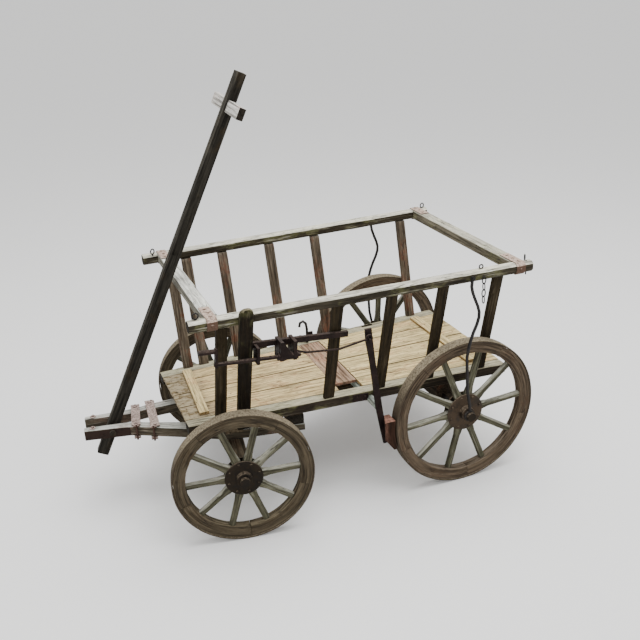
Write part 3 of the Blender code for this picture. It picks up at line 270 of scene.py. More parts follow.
def weathered_grain():
    """Streaks, fibres, cracks, bleaching with painted top light, and stains that run along the grain."""
    found = bpy.data.node_groups.get("Weathered Grain")
    if found:
        return found
    tree, given, out = new_group(
        "Weathered Grain",
        (("Place", "vector", None), ("Section", "vector", None), ("Pale", "colour", (0.6, 0.57, 0.5, 1)),
         ("Middle", "colour", (0.3, 0.26, 0.2, 1)), ("Dark", "colour", (0.08, 0.06, 0.04, 1)),
         ("Stain", "colour", (0.2, 0.08, 0.04, 1)), ("Stain Amount", "value", 0.2), ("Bleach", "value", 0.5),
         ("Bleach From", "value", 0.2), ("Cracks", "value", 0.5), ("Seam", "value", 0.0),
         ("End Amount", "value", 0.0), ("End Colour", "colour", (0.3, 0.27, 0.22, 1))),
        (("Color", "colour"), ("Roughness", "value"), ("Height", "value")))
    place = given["Place"]
    streak = stretched_noise(tree, place, (7, 150, 150), 5, 0.65, 0.3)
    fibre = stretched_noise(tree, place, (34, 1000, 1000), 3, 0.6)
    broad = stretched_noise(tree, place, (9, 16, 16), 3, 0.6)
    spots = stretched_noise(tree, place, (45, 70, 70), 4, 0.7)
    split = stretched_noise(tree, place, (5, 75, 75), 2.5, 0.5, 0.4)

    body = mix_colour(tree, remap(tree, streak, 0.36, 0.6), given["Dark"], given["Middle"])
    # Painted top light with real bleaching: faces that look up turn towards the pale top colour, together
    # with the random weathering and streaks below.
    lift = minus(tree, upward(tree), given["Bleach From"])
    lift = times(tree, remap(tree, lift, -0.25, 0.25, smooth=True), given["Bleach"])
    weather = plus(tree, remap(tree, broad, 0.3, 0.75, -0.3, 0.25), lift)
    weather = plus(tree, weather, remap(tree, streak, 0.36, 0.62, -0.5, 0.12))
    body = mix_colour(tree, weather, body, given["Pale"])
    body = mix_colour(tree, times(tree, remap(tree, fibre, 0.45, 0.66), 0.5), body, given["Dark"])

    stained = times(tree, remap(tree, broad, 0.5, 0.62, smooth=True), remap(tree, spots, 0.35, 0.6))
    body = mix_colour(tree, times(tree, stained, given["Stain Amount"]), body, given["Stain"])

    section = node(tree, "ShaderNodeSeparateXYZ")
    link(tree, given["Section"], section.inputs[0])
    near_end = plus(tree, section.outputs["X"], remap(tree, broad, 0.3, 0.7, -0.06, 0.06))
    near_end = times(tree, remap(tree, near_end, 0.74, 0.9, smooth=True), given["End Amount"])
    end_look = mix_colour(tree, remap(tree, spots, 0.4, 0.62), given["Dark"], given["End Colour"])
    body = mix_colour(tree, near_end, body, end_look)

    centre = math_node(tree, "ABSOLUTE", minus(tree, split, 0.5))
    thin = remap(tree, centre, 0.004, 0.02, 1.0, 0.0)
    crack = times(tree, thin, remap(tree, broad, 0.42, 0.6))
    crack = times(tree, crack, given["Cracks"])
    body = mix_colour(tree, crack, body, CRACK_BLACK)

    across = math_node(tree, "MINIMUM", math_node(tree, "ABSOLUTE", section.outputs["Y"]),
                       math_node(tree, "ABSOLUTE", section.outputs["Z"]))
    rubbed = times(tree, remap(tree, across, 0.86, 0.99), remap(tree, spots, 0.4, 0.6))
    body = mix_colour(tree, times(tree, rubbed, 0.4), body, given["Pale"])
    # Painted shade between planks: the faces darken at their long edges, towards the seams.
    seam = times(tree, remap(tree, across, 0.93, 0.985), given["Seam"])
    body = mix_colour(tree, seam, body, SEAM_SHADE_BLACK)
    dirt = times(tree, remap(tree, spots, 0.56, 0.72), 0.45)
    body = mix_colour(tree, dirt, body, given["Dark"])

    link(tree, body, out["Color"])
    link(tree, remap(tree, spots, 0.3, 0.7, 0.72, 0.95), out["Roughness"])
    height = plus(tree, times(tree, streak, 0.8), times(tree, fibre, 0.35))
    height = minus(tree, height, times(tree, crack, 1.2))
    link(tree, height, out["Height"])
    return tree


def rusted_iron():
    """Scaly rust, bare worn metal, and pale dust with painted top light on the faces that look up."""
    found = bpy.data.node_groups.get("Rusted Iron")
    if found:
        return found
    tree, given, out = new_group(
        "Rusted Iron",
        (("Place", "vector", None), ("Metal", "colour", (0.1, 0.09, 0.08, 1)),
         ("Rust", "colour", (0.2, 0.08, 0.04, 1)), ("Dust", "colour", (0.5, 0.46, 0.4, 1)),
         ("Rust Amount", "value", 0.5), ("Dust Amount", "value", 0.4)),
        (("Color", "colour"), ("Metal Mask", "value"), ("Roughness", "value"), ("Height", "value")))
    place = given["Place"]
    broad = stretched_noise(tree, place, (28, 28, 28), 4, 0.65)
    scale = stretched_noise(tree, place, (170, 170, 170), 4, 0.7)
    pits = stretched_noise(tree, place, (420, 420, 420), 3, 0.6)
    amount = remap(tree, given["Rust Amount"], 0.0, 1.0, 0.35, -0.35)
    patch = minus(tree, plus(tree, times(tree, broad, 0.6), times(tree, scale, 0.4)), amount)
    rusty = remap(tree, patch, 0.42, 0.56, smooth=True)
    body = mix_colour(tree, rusty, given["Metal"], given["Rust"])
    body = mix_colour(tree, times(tree, remap(tree, pits, 0.5, 0.7), 0.55), body, PIT_BROWN)
    # Painted top light with real dust: faces that look up turn towards the dust colour.
    lift = remap(tree, upward(tree), 0.15, 0.85, smooth=True)
    lift = times(tree, times(tree, lift, remap(tree, scale, 0.3, 0.6)), given["Dust Amount"])
    body = mix_colour(tree, lift, body, given["Dust"])
    link(tree, body, out["Color"])
    bare = minus(tree, 1.0, math_node(tree, "MAXIMUM", rusty, lift), True)
    link(tree, times(tree, bare, 0.75), out["Metal Mask"])
    rough = remap(tree, plus(tree, rusty, times(tree, scale, 0.3)), 0.1, 1.2, 0.48, 0.9)
    link(tree, rough, out["Roughness"])
    height = plus(tree, times(tree, scale, 0.7), times(tree, pits, 0.4))
    link(tree, height, out["Height"])
    return tree


# Specular level of the dry surfaces, and the angle where shading breaks
SHEEN = 0.1
CREASE = math.radians(32)


def material_with(name, group, height_distance, bump_strength):
    """A material whose group drives a Principled shader; gives (material, group node)."""
    made = bpy.data.materials.new(name)
    made.use_nodes = True
    tree = made.node_tree
    shader = tree.nodes["Principled BSDF"]
    shader.inputs["Specular IOR Level"].default_value = SHEEN
    look = node(tree, "ShaderNodeGroup", node_tree=group)
    link(tree, look.outputs["Color"], shader.inputs["Base Color"])
    link(tree, look.outputs["Roughness"], shader.inputs["Roughness"])
    bump = node(tree, "ShaderNodeBump")
    bump.inputs["Strength"].default_value = bump_strength
    bump.inputs["Distance"].default_value = height_distance
    link(tree, look.outputs["Height"], bump.inputs["Height"])
    link(tree, bump.outputs[0], shader.inputs["Normal"])
    return made, look


def shaded(value, share):
    """A linear colour times a share, kept below white."""
    return (*(min(0.95, part * share) for part in value[:3]), 1.0)


# Wood finishes: display colour of faces that look up, bleached and with painted top light, stain, its
# amount, bleaching with painted top light, the upward turn where it starts, cracks
RUST_BROWN = (112, 68, 50)
MOSS = (140, 140, 92)
WOOD = {
    "rail": ((240, 236, 218), MOSS, 0.25, 1.0, 0.45, 0.9),
    "slat": ((150, 140, 124), (104, 66, 50), 0.7, 0.7, 0.35, 0.8),
    # Painted shade: the near slats' top colour is darkened the same way.
    "near_slat": ((112, 100, 80), (50, 42, 28), 0.5, 0.7, 0.5, 0.7),
    "stake": ((136, 128, 106), MOSS, 0.15, 0.9, 0.5, 0.6),
    "floor": ((255, 233, 172), (186, 136, 98), 0.5, 0.8, 0.3, 1.0),
    "end_grain": ((120, 112, 98), (40, 32, 24), 0.5, 0.5, 0.5, 1.0),
    "floor_front": ((254, 229, 172), (186, 136, 98), 0.5, 0.75, 0.3, 1.0),
    "low_rail": ((206, 198, 168), MOSS, 0.3, 1.0, 0.5, 0.8),
    "middle_board": ((206, 180, 152), (150, 100, 78), 0.6, 0.6, 0.3, 0.8),
    "front_bar": ((250, 250, 240), (150, 144, 126), 0.4, 0.95, 0.4, 1.0),
    "rear_bar": ((208, 204, 186), MOSS, 0.25, 0.9, 0.4, 0.9),
    "beam": ((124, 112, 92), RUST_BROWN, 0.3, 0.8, 0.4, 0.7),
    "bolster": ((190, 180, 156), RUST_BROWN, 0.3, 0.8, 0.4, 0.7),
    "arm": ((216, 217, 208), (150, 120, 104), 0.3, 1.0, 0.45, 0.8),
    "pole": ((98, 94, 84), (64, 52, 34), 0.35, 0.6, 0.3, 0.6),
    "handle": ((238, 236, 230), (190, 150, 140), 0.3, 0.6, 0.2, 0.5),
    "felloe": ((140, 128, 104), (54, 42, 28), 0.5, 0.6, 0.45, 0.9),
    "rear_felloe": ((150, 136, 118), (80, 62, 48), 0.5, 0.6, 0.45, 0.9),
    "spoke": ((196, 194, 178), (84, 84, 62), 0.4, 0.85, 0.4, 0.8),
    "shaft": ((226, 234, 222), (150, 130, 110), 0.3, 0.5, 0.3, 0.5),
    "block": ((176, 130, 112), (44, 28, 20), 0.5, 0.9, 0.65, 0.6),
}
# The side colour is lightened and darkened by these shares to give the grain; both are set low, which also
# darkens the sides as painted shade
LIGHT_SHARE, DARK_SHARE = 0.95, 0.2
# Finishes that take their side colour from another one
SIDE_OF = {"floor_front": "floor"}


def wood_material(finish):
    name = "wood_" + finish
    found = bpy.data.materials.get(name)
    if found:
        return found
    top, stain, stain_amount, bleach_and_top_light, bleach_and_top_light_from, cracks = WOOD[finish]
    side = getattr(settings("wood"), SIDE_OF.get(finish, finish))
    made, look = material_with(name, weathered_grain(), 0.0012, 0.75)
    tree = made.node_tree
    for label, attribute in (("Place", "place"), ("Section", "section")):
        read = node(tree, "ShaderNodeAttribute", attribute_type="GEOMETRY", attribute_name=attribute)
        link(tree, read.outputs["Vector"], look.inputs[label])
    values = {"Pale": colour(*top), "Middle": shaded(side, LIGHT_SHARE), "Dark": shaded(side, DARK_SHARE),
              "Stain": colour(*stain), "Stain Amount": stain_amount, "Bleach": bleach_and_top_light,
              "Bleach From": bleach_and_top_light_from, "Cracks": cracks}
    # Floor planks and battens get the painted shade along their seams.
    if finish in ("floor", "floor_front"):
        values["Seam"] = 0.95
    if finish == "floor_front":
        values["End Amount"] = 0.85
        values["End Colour"] = settings("wood").floor_end
    for label, value in values.items():
        look.inputs[label].default_value = value
    return made


# Iron finishes: display colours of dust with painted top light on faces that look up and of bare metal,
# rust amounts and amounts of that dust and top light
IRON = {
    "tyre": ((160, 148, 124), (50, 45, 38), 0.75, 0.8),
    "hub": ((136, 122, 104), (30, 27, 24), 0.5, 0.6),
    "rear_hub": ((150, 134, 114), (50, 44, 38), 0.5, 0.6),
    "strap": ((204, 182, 166), (66, 46, 40), 0.7, 1.0),
    "clip": ((196, 176, 166), (54, 42, 38), 0.6, 1.0),
    "brake": ((108, 94, 86), (30, 24, 23), 0.5, 0.6),
    "stay": ((104, 98, 92), (42, 41, 41), 0.4, 0.35),
    "bolt": ((150, 132, 116), (56, 46, 40), 0.6, 0.5),
    "shoe": ((92, 74, 64), (34, 27, 24), 0.6, 0.4),
}


def iron_material(finish):
    name = "iron_" + finish
    found = bpy.data.materials.get(name)
    if found:
        return found
    dust_and_top_light, metal, rust_amount, dust_and_top_light_amount = IRON[finish]
    made, look = material_with(name, rusted_iron(), 0.0006, 0.6)
    tree = made.node_tree
    link(tree, look.outputs["Metal Mask"], tree.nodes["Principled BSDF"].inputs["Metallic"])
    place = node(tree, "ShaderNodeTexCoord")
    link(tree, place.outputs["Object"], look.inputs["Place"])
    values = {"Metal": colour(*metal), "Rust": getattr(settings("iron"), finish), "Dust": colour(*dust_and_top_light),
              "Rust Amount": rust_amount, "Dust Amount": dust_and_top_light_amount}
    for label, value in values.items():
        look.inputs[label].default_value = value
    return made


# Mesh helpers


def finished(name, bm, material, body, replaces=()):
    """Turns a bmesh into a shown piece that rides on a body."""
    bmesh.ops.recalc_face_normals(bm, faces=bm.faces)
    mesh = bpy.data.meshes.new(name)
    bm.to_mesh(mesh)
    bm.free()
    mesh.materials.append(material)
    for face in mesh.polygons:
        face.use_smooth = True
    mesh.set_sharp_from_angle(angle=CREASE)
    piece = bpy.data.objects.new(name, mesh)
    bpy.context.scene.collection.objects.link(piece)
    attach(piece, body)
    if replaces:
        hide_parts(*replaces)
    return piece


def loft_into(bm, rings, closed=False):
    """Adds a tube through rings of equal point count to a bmesh."""
    made = [[bm.verts.new(p) for p in ring] for ring in rings]
    count = len(made[0])
    pairs = list(zip(made, made[1:])) + ([(made[-1], made[0])] if closed else [])
    for a, b in pairs:
        for j in range(count):
            k = (j + 1) % count
            bm.faces.new((a[j], a[k], b[k], b[j]))
    if not closed:
        bm.faces.new(list(reversed(made[0])))
        bm.faces.new(made[-1])
    return [v for ring in made for v in ring]


def circle(radius, count, phase=0.0):
    step = 2 * math.pi / count
    return [(radius * math.cos(phase + i * step), radius * math.sin(phase + i * step)) for i in range(count)]


def turned_into(bm, centre, axis, profile, count=16, phase=0.0):
    """Adds a solid turned about an axis from (distance along it, radius) pairs."""
    centre, axis = Vector(centre), Vector(axis).normalized()
    turn = axis.to_track_quat("Z", "Y")
    rings = []
    for along, radius in profile:
        middle = centre + axis * along
        rings.append([middle + turn @ Vector((a, b, 0)) for a, b in circle(radius, count, phase)])
    return loft_into(bm, rings)


def bolt_into(bm, centre, axis, radius, height, sides=6, phase=0.0):
    """A worn bolt head on a small washer."""
    turned_into(bm, centre, axis, ((-0.0005, radius * 1.35), (0.0008, radius * 1.35)), 14)
    head = ((0.0, radius), (height * 0.8, radius), (height, radius * 0.72))
    turned_into(bm, centre, axis, head, sides, phase)


def tube_into(bm, points, radius, count=8, closed=False):
    """A round bar through points; closed joins its ends."""
    pts = [Vector(p) for p in points]
    rings = []
    total = len(pts)
    first = (pts[1] - pts[0]).normalized()
    turn = first.to_track_quat("Z", "Y")
    for i, point in enumerate(pts):
        if closed:
            tangent = (pts[(i + 1) % total] - pts[i - 1]).normalized()
        else:
            before = pts[i] - pts[i - 1] if i else pts[1] - pts[0]
            after = pts[i + 1] - pts[i] if i < total - 1 else before
            tangent = (before.normalized() + after.normalized()).normalized()
        turn = (turn @ UP).rotation_difference(tangent) @ turn
        rings.append([point + turn @ Vector((a, b, 0)) for a, b in circle(radius, count)])
    return loft_into(bm, rings, closed)


def strip_into(bm, points, across, width, thick):
    """A flat iron strip along points, its width along the across direction."""
    pts = [Vector(p) for p in points]
    side = Vector(across).normalized()
    rings = []
    for i, point in enumerate(pts):
        before = (pts[i] - pts[i - 1]).normalized() if i else (pts[1] - pts[0]).normalized()
        after = (pts[i + 1] - pts[i]).normalized() if i < len(pts) - 1 else before
        tangent = (before + after).normalized()
        up = tangent.cross(side).normalized()
        stretch = 1.0 / max(0.6, tangent.dot(after))
        half, rise, edge = width / 2, thick / 2 * stretch, thick * 0.25
        outline = ((-half + edge, rise), (half - edge, rise), (half, rise - edge), (half, -rise + edge),
                   (half - edge, -rise), (-half + edge, -rise), (-half, -rise + edge), (-half, rise - edge))
        rings.append([point + side * a + up * b for a, b in outline])
    return loft_into(bm, rings)


def spread(bm, length, direction):
    """Cuts the mesh into slices along a direction."""
    direction = Vector(direction).normalized()
    values = [v.co.dot(direction) for v in bm.verts]
    low, high = min(values), max(values)
    count = max(1, round((high - low) / length))
    for i in range(1, count):
        level = low + (high - low) * i / count
        bmesh.ops.bisect_plane(bm, geom=bm.verts[:] + bm.edges[:] + bm.faces[:], dist=1e-6,
                               plane_co=direction * level, plane_no=direction)


def grain_values(bm, along, side, up, offset):
    """Writes the grain coordinates and the place in the section to each vertex."""
    place = bm.verts.layers.float_vector.new("place")
    section = bm.verts.layers.float_vector.new("section")
    data = [(v.co.dot(along), v.co.dot(side), v.co.dot(up)) for v in bm.verts]
    low, high = min(d[0] for d in data), max(d[0] for d in data)
    bins = max(2, int((high - low) / 0.03))
    limits = [[9.0, -9.0, 9.0, -9.0] for _ in range(bins + 1)]
    for t, a, b in data:
        i = round((t - low) / (high - low) * bins)
        box = limits[i]
        box[0], box[1] = min(box[0], a), max(box[1], a)
        box[2], box[3] = min(box[2], b), max(box[3], b)
    known = [i for i, box in enumerate(limits) if box[1] - box[0] > 1e-4 and box[3] - box[2] > 1e-4]
    for v, (t, a, b) in zip(bm.verts, data):
        at = (t - low) / (high - low) * bins
        before = max([i for i in known if i <= at + 1e-6], default=known[0])
        after = min([i for i in known if i >= at - 1e-6], default=known[-1])
        share = 0.0 if after == before else (at - before) / (after - before)
        box = [p + (q - p) * share for p, q in zip(limits[before], limits[after])]
        mid_a, mid_b = (box[0] + box[1]) / 2, (box[2] + box[3]) / 2
        v[place] = Vector((t, a - mid_a, b - mid_b)) + offset
        v[section] = Vector(((t - low) / (high - low), (a - mid_a) / ((box[1] - box[0]) / 2),
                             (b - mid_b) / ((box[3] - box[2]) / 2)))


# Share of the half section from which edges chip
CHIP_FROM = 0.86


def wear(bm, depth, seed):
    """Eats the surface inwards: gentle waves all over and chips along the edges."""
    section = bm.verts.layers.float_vector["section"]
    place = bm.verts.layers.float_vector["place"]
    bm.normal_update()
    moves = []
    for v in bm.verts:
        p = v[place] + Vector((seed, 0, 0))
        wave = 0.5 + 0.5 * noise.noise(Vector((p.x * 9, p.y * 45, p.z * 45)))
        fine = 0.5 + 0.5 * noise.noise(Vector((p.x * 38, p.y * 120, p.z * 120)))
        edge = min(abs(v[section].y), abs(v[section].z))
        chip = max(0.0, noise.noise(Vector((p.x * 24, 7.3, seed))))
        chip *= max(0.0, (edge - CHIP_FROM) / (1 - CHIP_FROM))
        moves.append(v.normal * -(depth * (0.9 * wave + 0.45 * fine) + depth * 3.0 * chip))
    for v, move in zip(bm.verts, moves):
        v.co += move


def darken_ends(piece, along):
    """Gives the faces across the grain the look of cut ends."""
    piece.data.materials.append(wood_material("end_grain"))
    for face in piece.data.polygons:
        if abs(face.normal.dot(along)) > 0.8:
            face.material_index = 1


def worn_copy(cad, along, finish, body, edge=None, slices=None, cross=None, dark_ends=False):
    """Replaces a CAD beam by a copy with rounded, eaten edges and grain values."""
    wood = settings("wood")
    edge = wood.edge_round if edge is None else edge
    bm = bmesh.new()
    bm.from_mesh(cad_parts[cad].data)
    bmesh.ops.remove_doubles(bm, verts=bm.verts, dist=1e-5)
    bmesh.ops.dissolve_limit(bm, angle_limit=math.radians(0.4), verts=bm.verts, edges=bm.edges)
    sharp = [e for e in bm.edges if len(e.link_faces) == 2 and e.calc_face_angle(0) > math.radians(28)]
    bmesh.ops.bevel(bm, geom=sharp, offset=edge, offset_type="OFFSET", segments=2, profile=0.5,
                    affect="EDGES", clamp_overlap=True)
    bmesh.ops.triangulate(bm, faces=[f for f in bm.faces if len(f.verts) > 4])
    along = Vector(along).normalized()
    up = FORWARD if abs(along.z) > 0.8 else UP
    side = up.cross(along).normalized()
    up = along.cross(side).normalized()
    spread(bm, wood.slice_length if slices is None else slices, along)
    if cross:
        spread(bm, cross, side)
    bmesh.ops.triangulate(bm, faces=[f for f in bm.faces if len(f.verts) > 4])
    seed = sum(ord(c) for c in cad) * 0.37
    grain_values(bm, along, side, up, Vector((seed, seed * 0.31, seed * 0.17)))
    wear(bm, wood.wear_depth, seed)
    piece = finished(cad + "_worn", bm, wood_material(finish), body, (cad,))
    if dark_ends:
        darken_ends(piece, along)
    return piece


def rail_at(x, side):
    """Middle of a top rail at x."""
    t = (x - RAIL_X[0]) / (RAIL_X[1] - RAIL_X[0])
    return Vector((x, side * (TOP_RAIL_Y[0] + (TOP_RAIL_Y[1] - TOP_RAIL_Y[0]) * t),
                   TOP_RAIL_Z[0] + (TOP_RAIL_Z[1] - TOP_RAIL_Z[0]) * t))


def low_rail_y(x):
    """Distance of a lower rail's middle from the cart's middle at x."""
    t = (x - LOW_RAIL_X[0]) / (LOW_RAIL_X[1] - LOW_RAIL_X[0])
    return LOW_RAIL_Y[0] + (LOW_RAIL_Y[1] - LOW_RAIL_Y[0]) * t


# Operators


class CART_OT_rails(bpy.types.Operator):
    """Worn top rails and lower rails of the ladder sides"""
    bl_idname = "cart.rails"
    bl_label = "Rails"

    def execute(self, context):
        for side, word in ((1, "left"), (-1, "right")):
            top = rail_at(RAIL_X[0], side) - rail_at(RAIL_X[1], side)
            worn_copy(word + "_top_rail", top, "rail", BODY, edge=0.0025, dark_ends=True)
            low = Vector((LOW_RAIL_X[0] - LOW_RAIL_X[1], side * (LOW_RAIL_Y[0] - LOW_RAIL_Y[1]), 0))
            worn_copy(word + "_lower_rail", low, "low_rail", BODY, edge=0.0014, dark_ends=True)
        return {"FINISHED"}


class CART_OT_slats(bpy.types.Operator):
    """Worn slats between the rails and the stake outside them"""
    bl_idname = "cart.slats"
    bl_label = "Slats and stake"

    def execute(self, context):
        names = [n for n in sorted(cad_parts) if "_slat_" in n] + ["left_stake"]
        for name in names:
            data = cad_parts[name].data
            top = max(v.co.z for v in data.vertices)
            low = min(v.co.z for v in data.vertices)
            ends = []
            for level in (low, top):
                near = [v.co for v in data.vertices if abs(v.co.z - level) < 0.02]
                ends.append(sum(near, Vector()) / len(near))
            # The left side's slats take the painted-shade copy of the slat colour.
            finish = "near_slat" if name.startswith("left_slat") else "slat"
            if name == "left_stake":
                finish = "stake"
            worn_copy(name, ends[1] - ends[0], finish, BODY)
        return {"FINISHED"}


# Planks: spacing of the rings, columns across, room inside the floor's solid,
# drop at the seams and depth of the ragged front end
PLANK_STEP, PLANK_COLUMNS, PLANK_ROOM = 0.018, 8, 0.0002
SEAM_DROP, RAGGED_END = 0.0011, 0.0045


def plank(name, line_a, line_b, x_front, x_rear, finish, seed, replaces):
    """A floor plank between two seam lines, its front end a little ragged."""
    bm = bmesh.new()
    count = max(2, round(abs(x_front - x_rear) / PLANK_STEP))
    shares = [j / PLANK_COLUMNS for j in range(PLANK_COLUMNS + 1)]
    rings = []
    for i in range(count + 1):
        x = x_front + (x_rear - x_front) * i / count
        y_a, y_b = line_a(x), line_b(x)
        top = [(x, y_a + (y_b - y_a) * share, DECK_TOP - PLANK_ROOM) for share in shares]
        under = [(x, y, DECK_LOW + PLANK_ROOM) for _, y, _ in reversed(top)]
        rings.append(top + under)
    loft_into(bm, rings)
    grain_values(bm, FORWARD, LEFT, UP, Vector((seed, seed * 0.7, seed * 0.2)))
    section = bm.verts.layers.float_vector["section"]
    for v in bm.verts:
        across = v[section].y
        if v.co.z > (DECK_TOP + DECK_LOW) / 2:
            v.co.z -= SEAM_DROP * max(0.0, abs(across) - 0.55) / 0.45
            v.co.z -= 0.0005 * (0.5 + 0.5 * noise.noise(Vector((v.co.x * 14, v.co.y * 60, seed))))
        if v[section].x > 0.999:
            v.co.x -= RAGGED_END * (0.5 + 0.5 * noise.noise(Vector((v.co.y * 50, seed, 1.0))))
    return finished(name, bm, wood_material(finish), BODY, replaces)


# Battens on the floor: name, (x, y) of both ends, half width
BATTENS = (
    ("front", (0.33383, -0.158), (0.35383, 0.150), 0.015),
    ("rear", (-0.55217, -0.206), (-0.55217, 0.200), 0.017),
)
BATTEN_HEIGHT = 0.010
BATTEN_STEPS = 22


class CART_OT_floor(bpy.types.Operator):
    """Loose old floor planks, the board across them and two battens"""
    bl_idname = "cart.floor"
    bl_label = "Floor"

    def execute(self, context):
        seam = settings("wood").seam / 2

        def edge_line(share, shift):
            if abs(share) == 1:
                return lambda x: share * (low_rail_y(x) - LOW_RAIL_HALF - 0.0006)
            return lambda x: share * low_rail_y(x) + shift

        lines = (-1, *PLANK_SEAMS, 1)
        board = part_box("middle_floor_board")
        spans = (("front", board[1].x + 0.0006, LOW_RAIL_X[0], "front_floor_planks"),
                 ("rear", LOW_RAIL_X[1], board[0].x - 0.0006, "rear_floor_planks"))
        for word, x_rear, x_front, cad in spans:
            for i, (a, b) in enumerate(zip(lines, lines[1:])):
                finish = "floor_front" if word == "front" else "floor"
                seed = 3.1 * i + (11.0 if word == "rear" else 0.0)
                plank("%s_plank_%d" % (word, i + 1), edge_line(a, seam), edge_line(b, -seam),
                      x_front, x_rear, finish, seed, (cad,))
        worn_copy("middle_floor_board", LEFT, "middle_board", BODY, edge=0.0012, cross=0.02)
        for word, (ax, ay), (bx, by), half in BATTENS:
            low = DECK_TOP + 0.0002
            high = low + BATTEN_HEIGHT
            worn = 0.002
            outline = ((-half, low), (-half, high - worn), (-half + worn, high), (0, high),
                       (half - worn, high), (half, high - worn), (half, low))
            bm = bmesh.new()
            rings = []
            for i in range(BATTEN_STEPS + 1):
                t = i / BATTEN_STEPS
                x, y = ax + (bx - ax) * t, ay + (by - ay) * t
                rings.append([(x + a, y, z) for a, z in outline])
            loft_into(bm, rings)
            along = Vector((bx - ax, by - ay, 0)).normalized()
            grain_values(bm, along, UP.cross(along), UP, Vector((ax * 30, 2.0, 5.0)))
            wear(bm, settings("wood").wear_depth * 0.8, ax)
            finished(word + "_batten", bm, wood_material("floor"), BODY)
        return {"FINISHED"}


class CART_OT_crossbars(bpy.types.Operator):
    """The two bars that lie across the top rails"""
    bl_idname = "cart.crossbars"
    bl_label = "Crossbars"

    def execute(self, context):
        worn_copy("front_top_crossbar", LEFT, "front_bar", BODY, edge=0.002)
        worn_copy("rear_top_crossbar", LEFT, "rear_bar", BODY, edge=0.002)
        return {"FINISHED"}


class CART_OT_running_gear(bpy.types.Operator):
    """Bolsters, axle blocks, reach pole and the iron below the floor"""
    bl_idname = "cart.running_gear"
    bl_label = "Running gear"

    def execute(self, context):
        worn_copy("front_bolster", LEFT, "beam", BODY)
        worn_copy("reach_pole", FORWARD, "beam", BODY)
        worn_copy("rear_axle_block", LEFT, "beam", BODY)
        worn_copy("front_axle_beam", ACROSS, "beam", CARRIAGE)
        worn_copy("carriage_bolster", ACROSS, "bolster", CARRIAGE)
        worn_copy("slider_bar", ACROSS, "beam", CARRIAGE, dark_ends=True)
        for word in ("left", "right"):
            worn_copy(word + "_fork_arm", AHEAD, "arm", CARRIAGE, dark_ends=True)
        for name, finish in (("rear_axle", "hub"), ("front_axle", "hub"), ("king_bolt", "hub"),
                             ("front_fork_clip", "clip"), ("rear_fork_clip", "clip"),
                             ("left_stay_rod", "stay"), ("right_stay_rod", "stay"),
                             ("hanging_chain", "stay")):
            dress(name, iron_material(finish))
        return {"FINISHED"}


def dress(cad, material):
    """Gives a CAD node that stays its finish."""
    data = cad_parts[cad]
    data.data.materials.clear()
    data.data.materials.append(material)


# Directions of the leaning pole and of its handle
POLE_WAY = Vector((-0.41659, 0.06643, 0.90666))
HANDLE_WAY = Vector((-0.03, 1.0, 0.1))


class CART_OT_pole(bpy.types.Operator):
    """The dark pole and its bleached handle"""
    bl_idname = "cart.pole"
    bl_label = "Pole"

    def execute(self, context):
        worn_copy("pole", POLE_WAY, "pole", POLE, slices=0.02)
        worn_copy("pole_handle", HANDLE_WAY, "handle", POLE, dark_ends=True)
        return {"FINISHED"}


class CART_OT_brake(bpy.types.Operator):
    """Screw, nut, pull rod, levers and blocks of the brake"""
    bl_idname = "cart.brake"
    bl_label = "Brake"

    def execute(self, context):
        for name in ("brake_guide_bar", "brake_crank", "brake_nut_and_rod", "left_brake_lever",
                     "right_brake_lever"):
            dress(name, iron_material("brake"))
        worn_copy("brake_shaft", LEFT, "shaft", LINKAGE)
        for word in ("left", "right"):
            worn_copy(word + "_brake_block", UP, "block", LINKAGE)
        return {"FINISHED"}


def superellipse(width, thick, power, count=16):
    """A ring between an oval (power 2) and a rounded rectangle."""
    ring = []
    for i in range(count):
        angle = 2 * math.pi * (i + 0.5) / count
        c, s = math.cos(angle), math.sin(angle)
        ring.append((math.copysign(abs(c) ** (2 / power), c) * width / 2,
                     math.copysign(abs(s) ** (2 / power), s) * thick / 2))
    return ring


# Wheels: prefix, radius, plate radius, nose reach, turned by degrees, finishes
WHEELS = (
    ("front_left", 0.2134, 0.058, 0.030, 15.8, "felloe", "hub"),
    ("front_right", 0.2134, 0.058, 0.030, 21.0, "felloe", "hub"),
    ("rear_left", 0.25, 0.064, 0.034, 14.4, "rear_felloe", "rear_hub"),
    ("rear_right", 0.25, 0.064, 0.034, 3.0, "rear_felloe", "rear_hub"),
)
TYRE_WIDTH, TYRE_THICK = 0.038, 0.005
FELLOE_WIDTH, FELLOE_DEPTH = 0.034, 0.036
SPOKES = 10
TYRE_STEPS = 96
FELLOES, FELLOE_STEPS = 5, 22
FELLOE_SWEEP = math.radians(360 / FELLOES)
FELLOE_START = math.pi / 2 + FELLOE_SWEEP / 4
FELLOE_JOINT = math.radians(0.22)
FELLOE_EDGE, FELLOE_CHAMFER = 0.0035, 0.001
TYRE_ROUND, TYRE_EDGE, TYRE_DENT = 0.0016, 0.0012, 0.0006
# Spokes: start, rings, width and thickness at the hub and what they lose
# over the shoulder past the plate
SPOKE_ROOT, SPOKE_STEPS = 0.030, 12
SPOKE_WIDTH, SPOKE_THICK = 0.0265, 0.0195
SPOKE_SLIMMER, SPOKE_THINNER = 0.0055, 0.0015
SHOULDER_LENGTH = 0.022


def wheel_frame(prefix, phase):
    """The wheel's place: Y along its axle outwards, turned by the phase."""
    low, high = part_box(prefix + "_tyre")
    centre = (low + high) / 2
    side = 1 if "left" in prefix else -1
    outward = (ACROSS if prefix.startswith("front") else LEFT) * side
    turn = Matrix((outward.cross(UP), outward, UP)).transposed().to_4x4()
    return Matrix.Translation(centre) @ turn @ Matrix.Rotation(math.radians(-phase * side), 4, "Y")


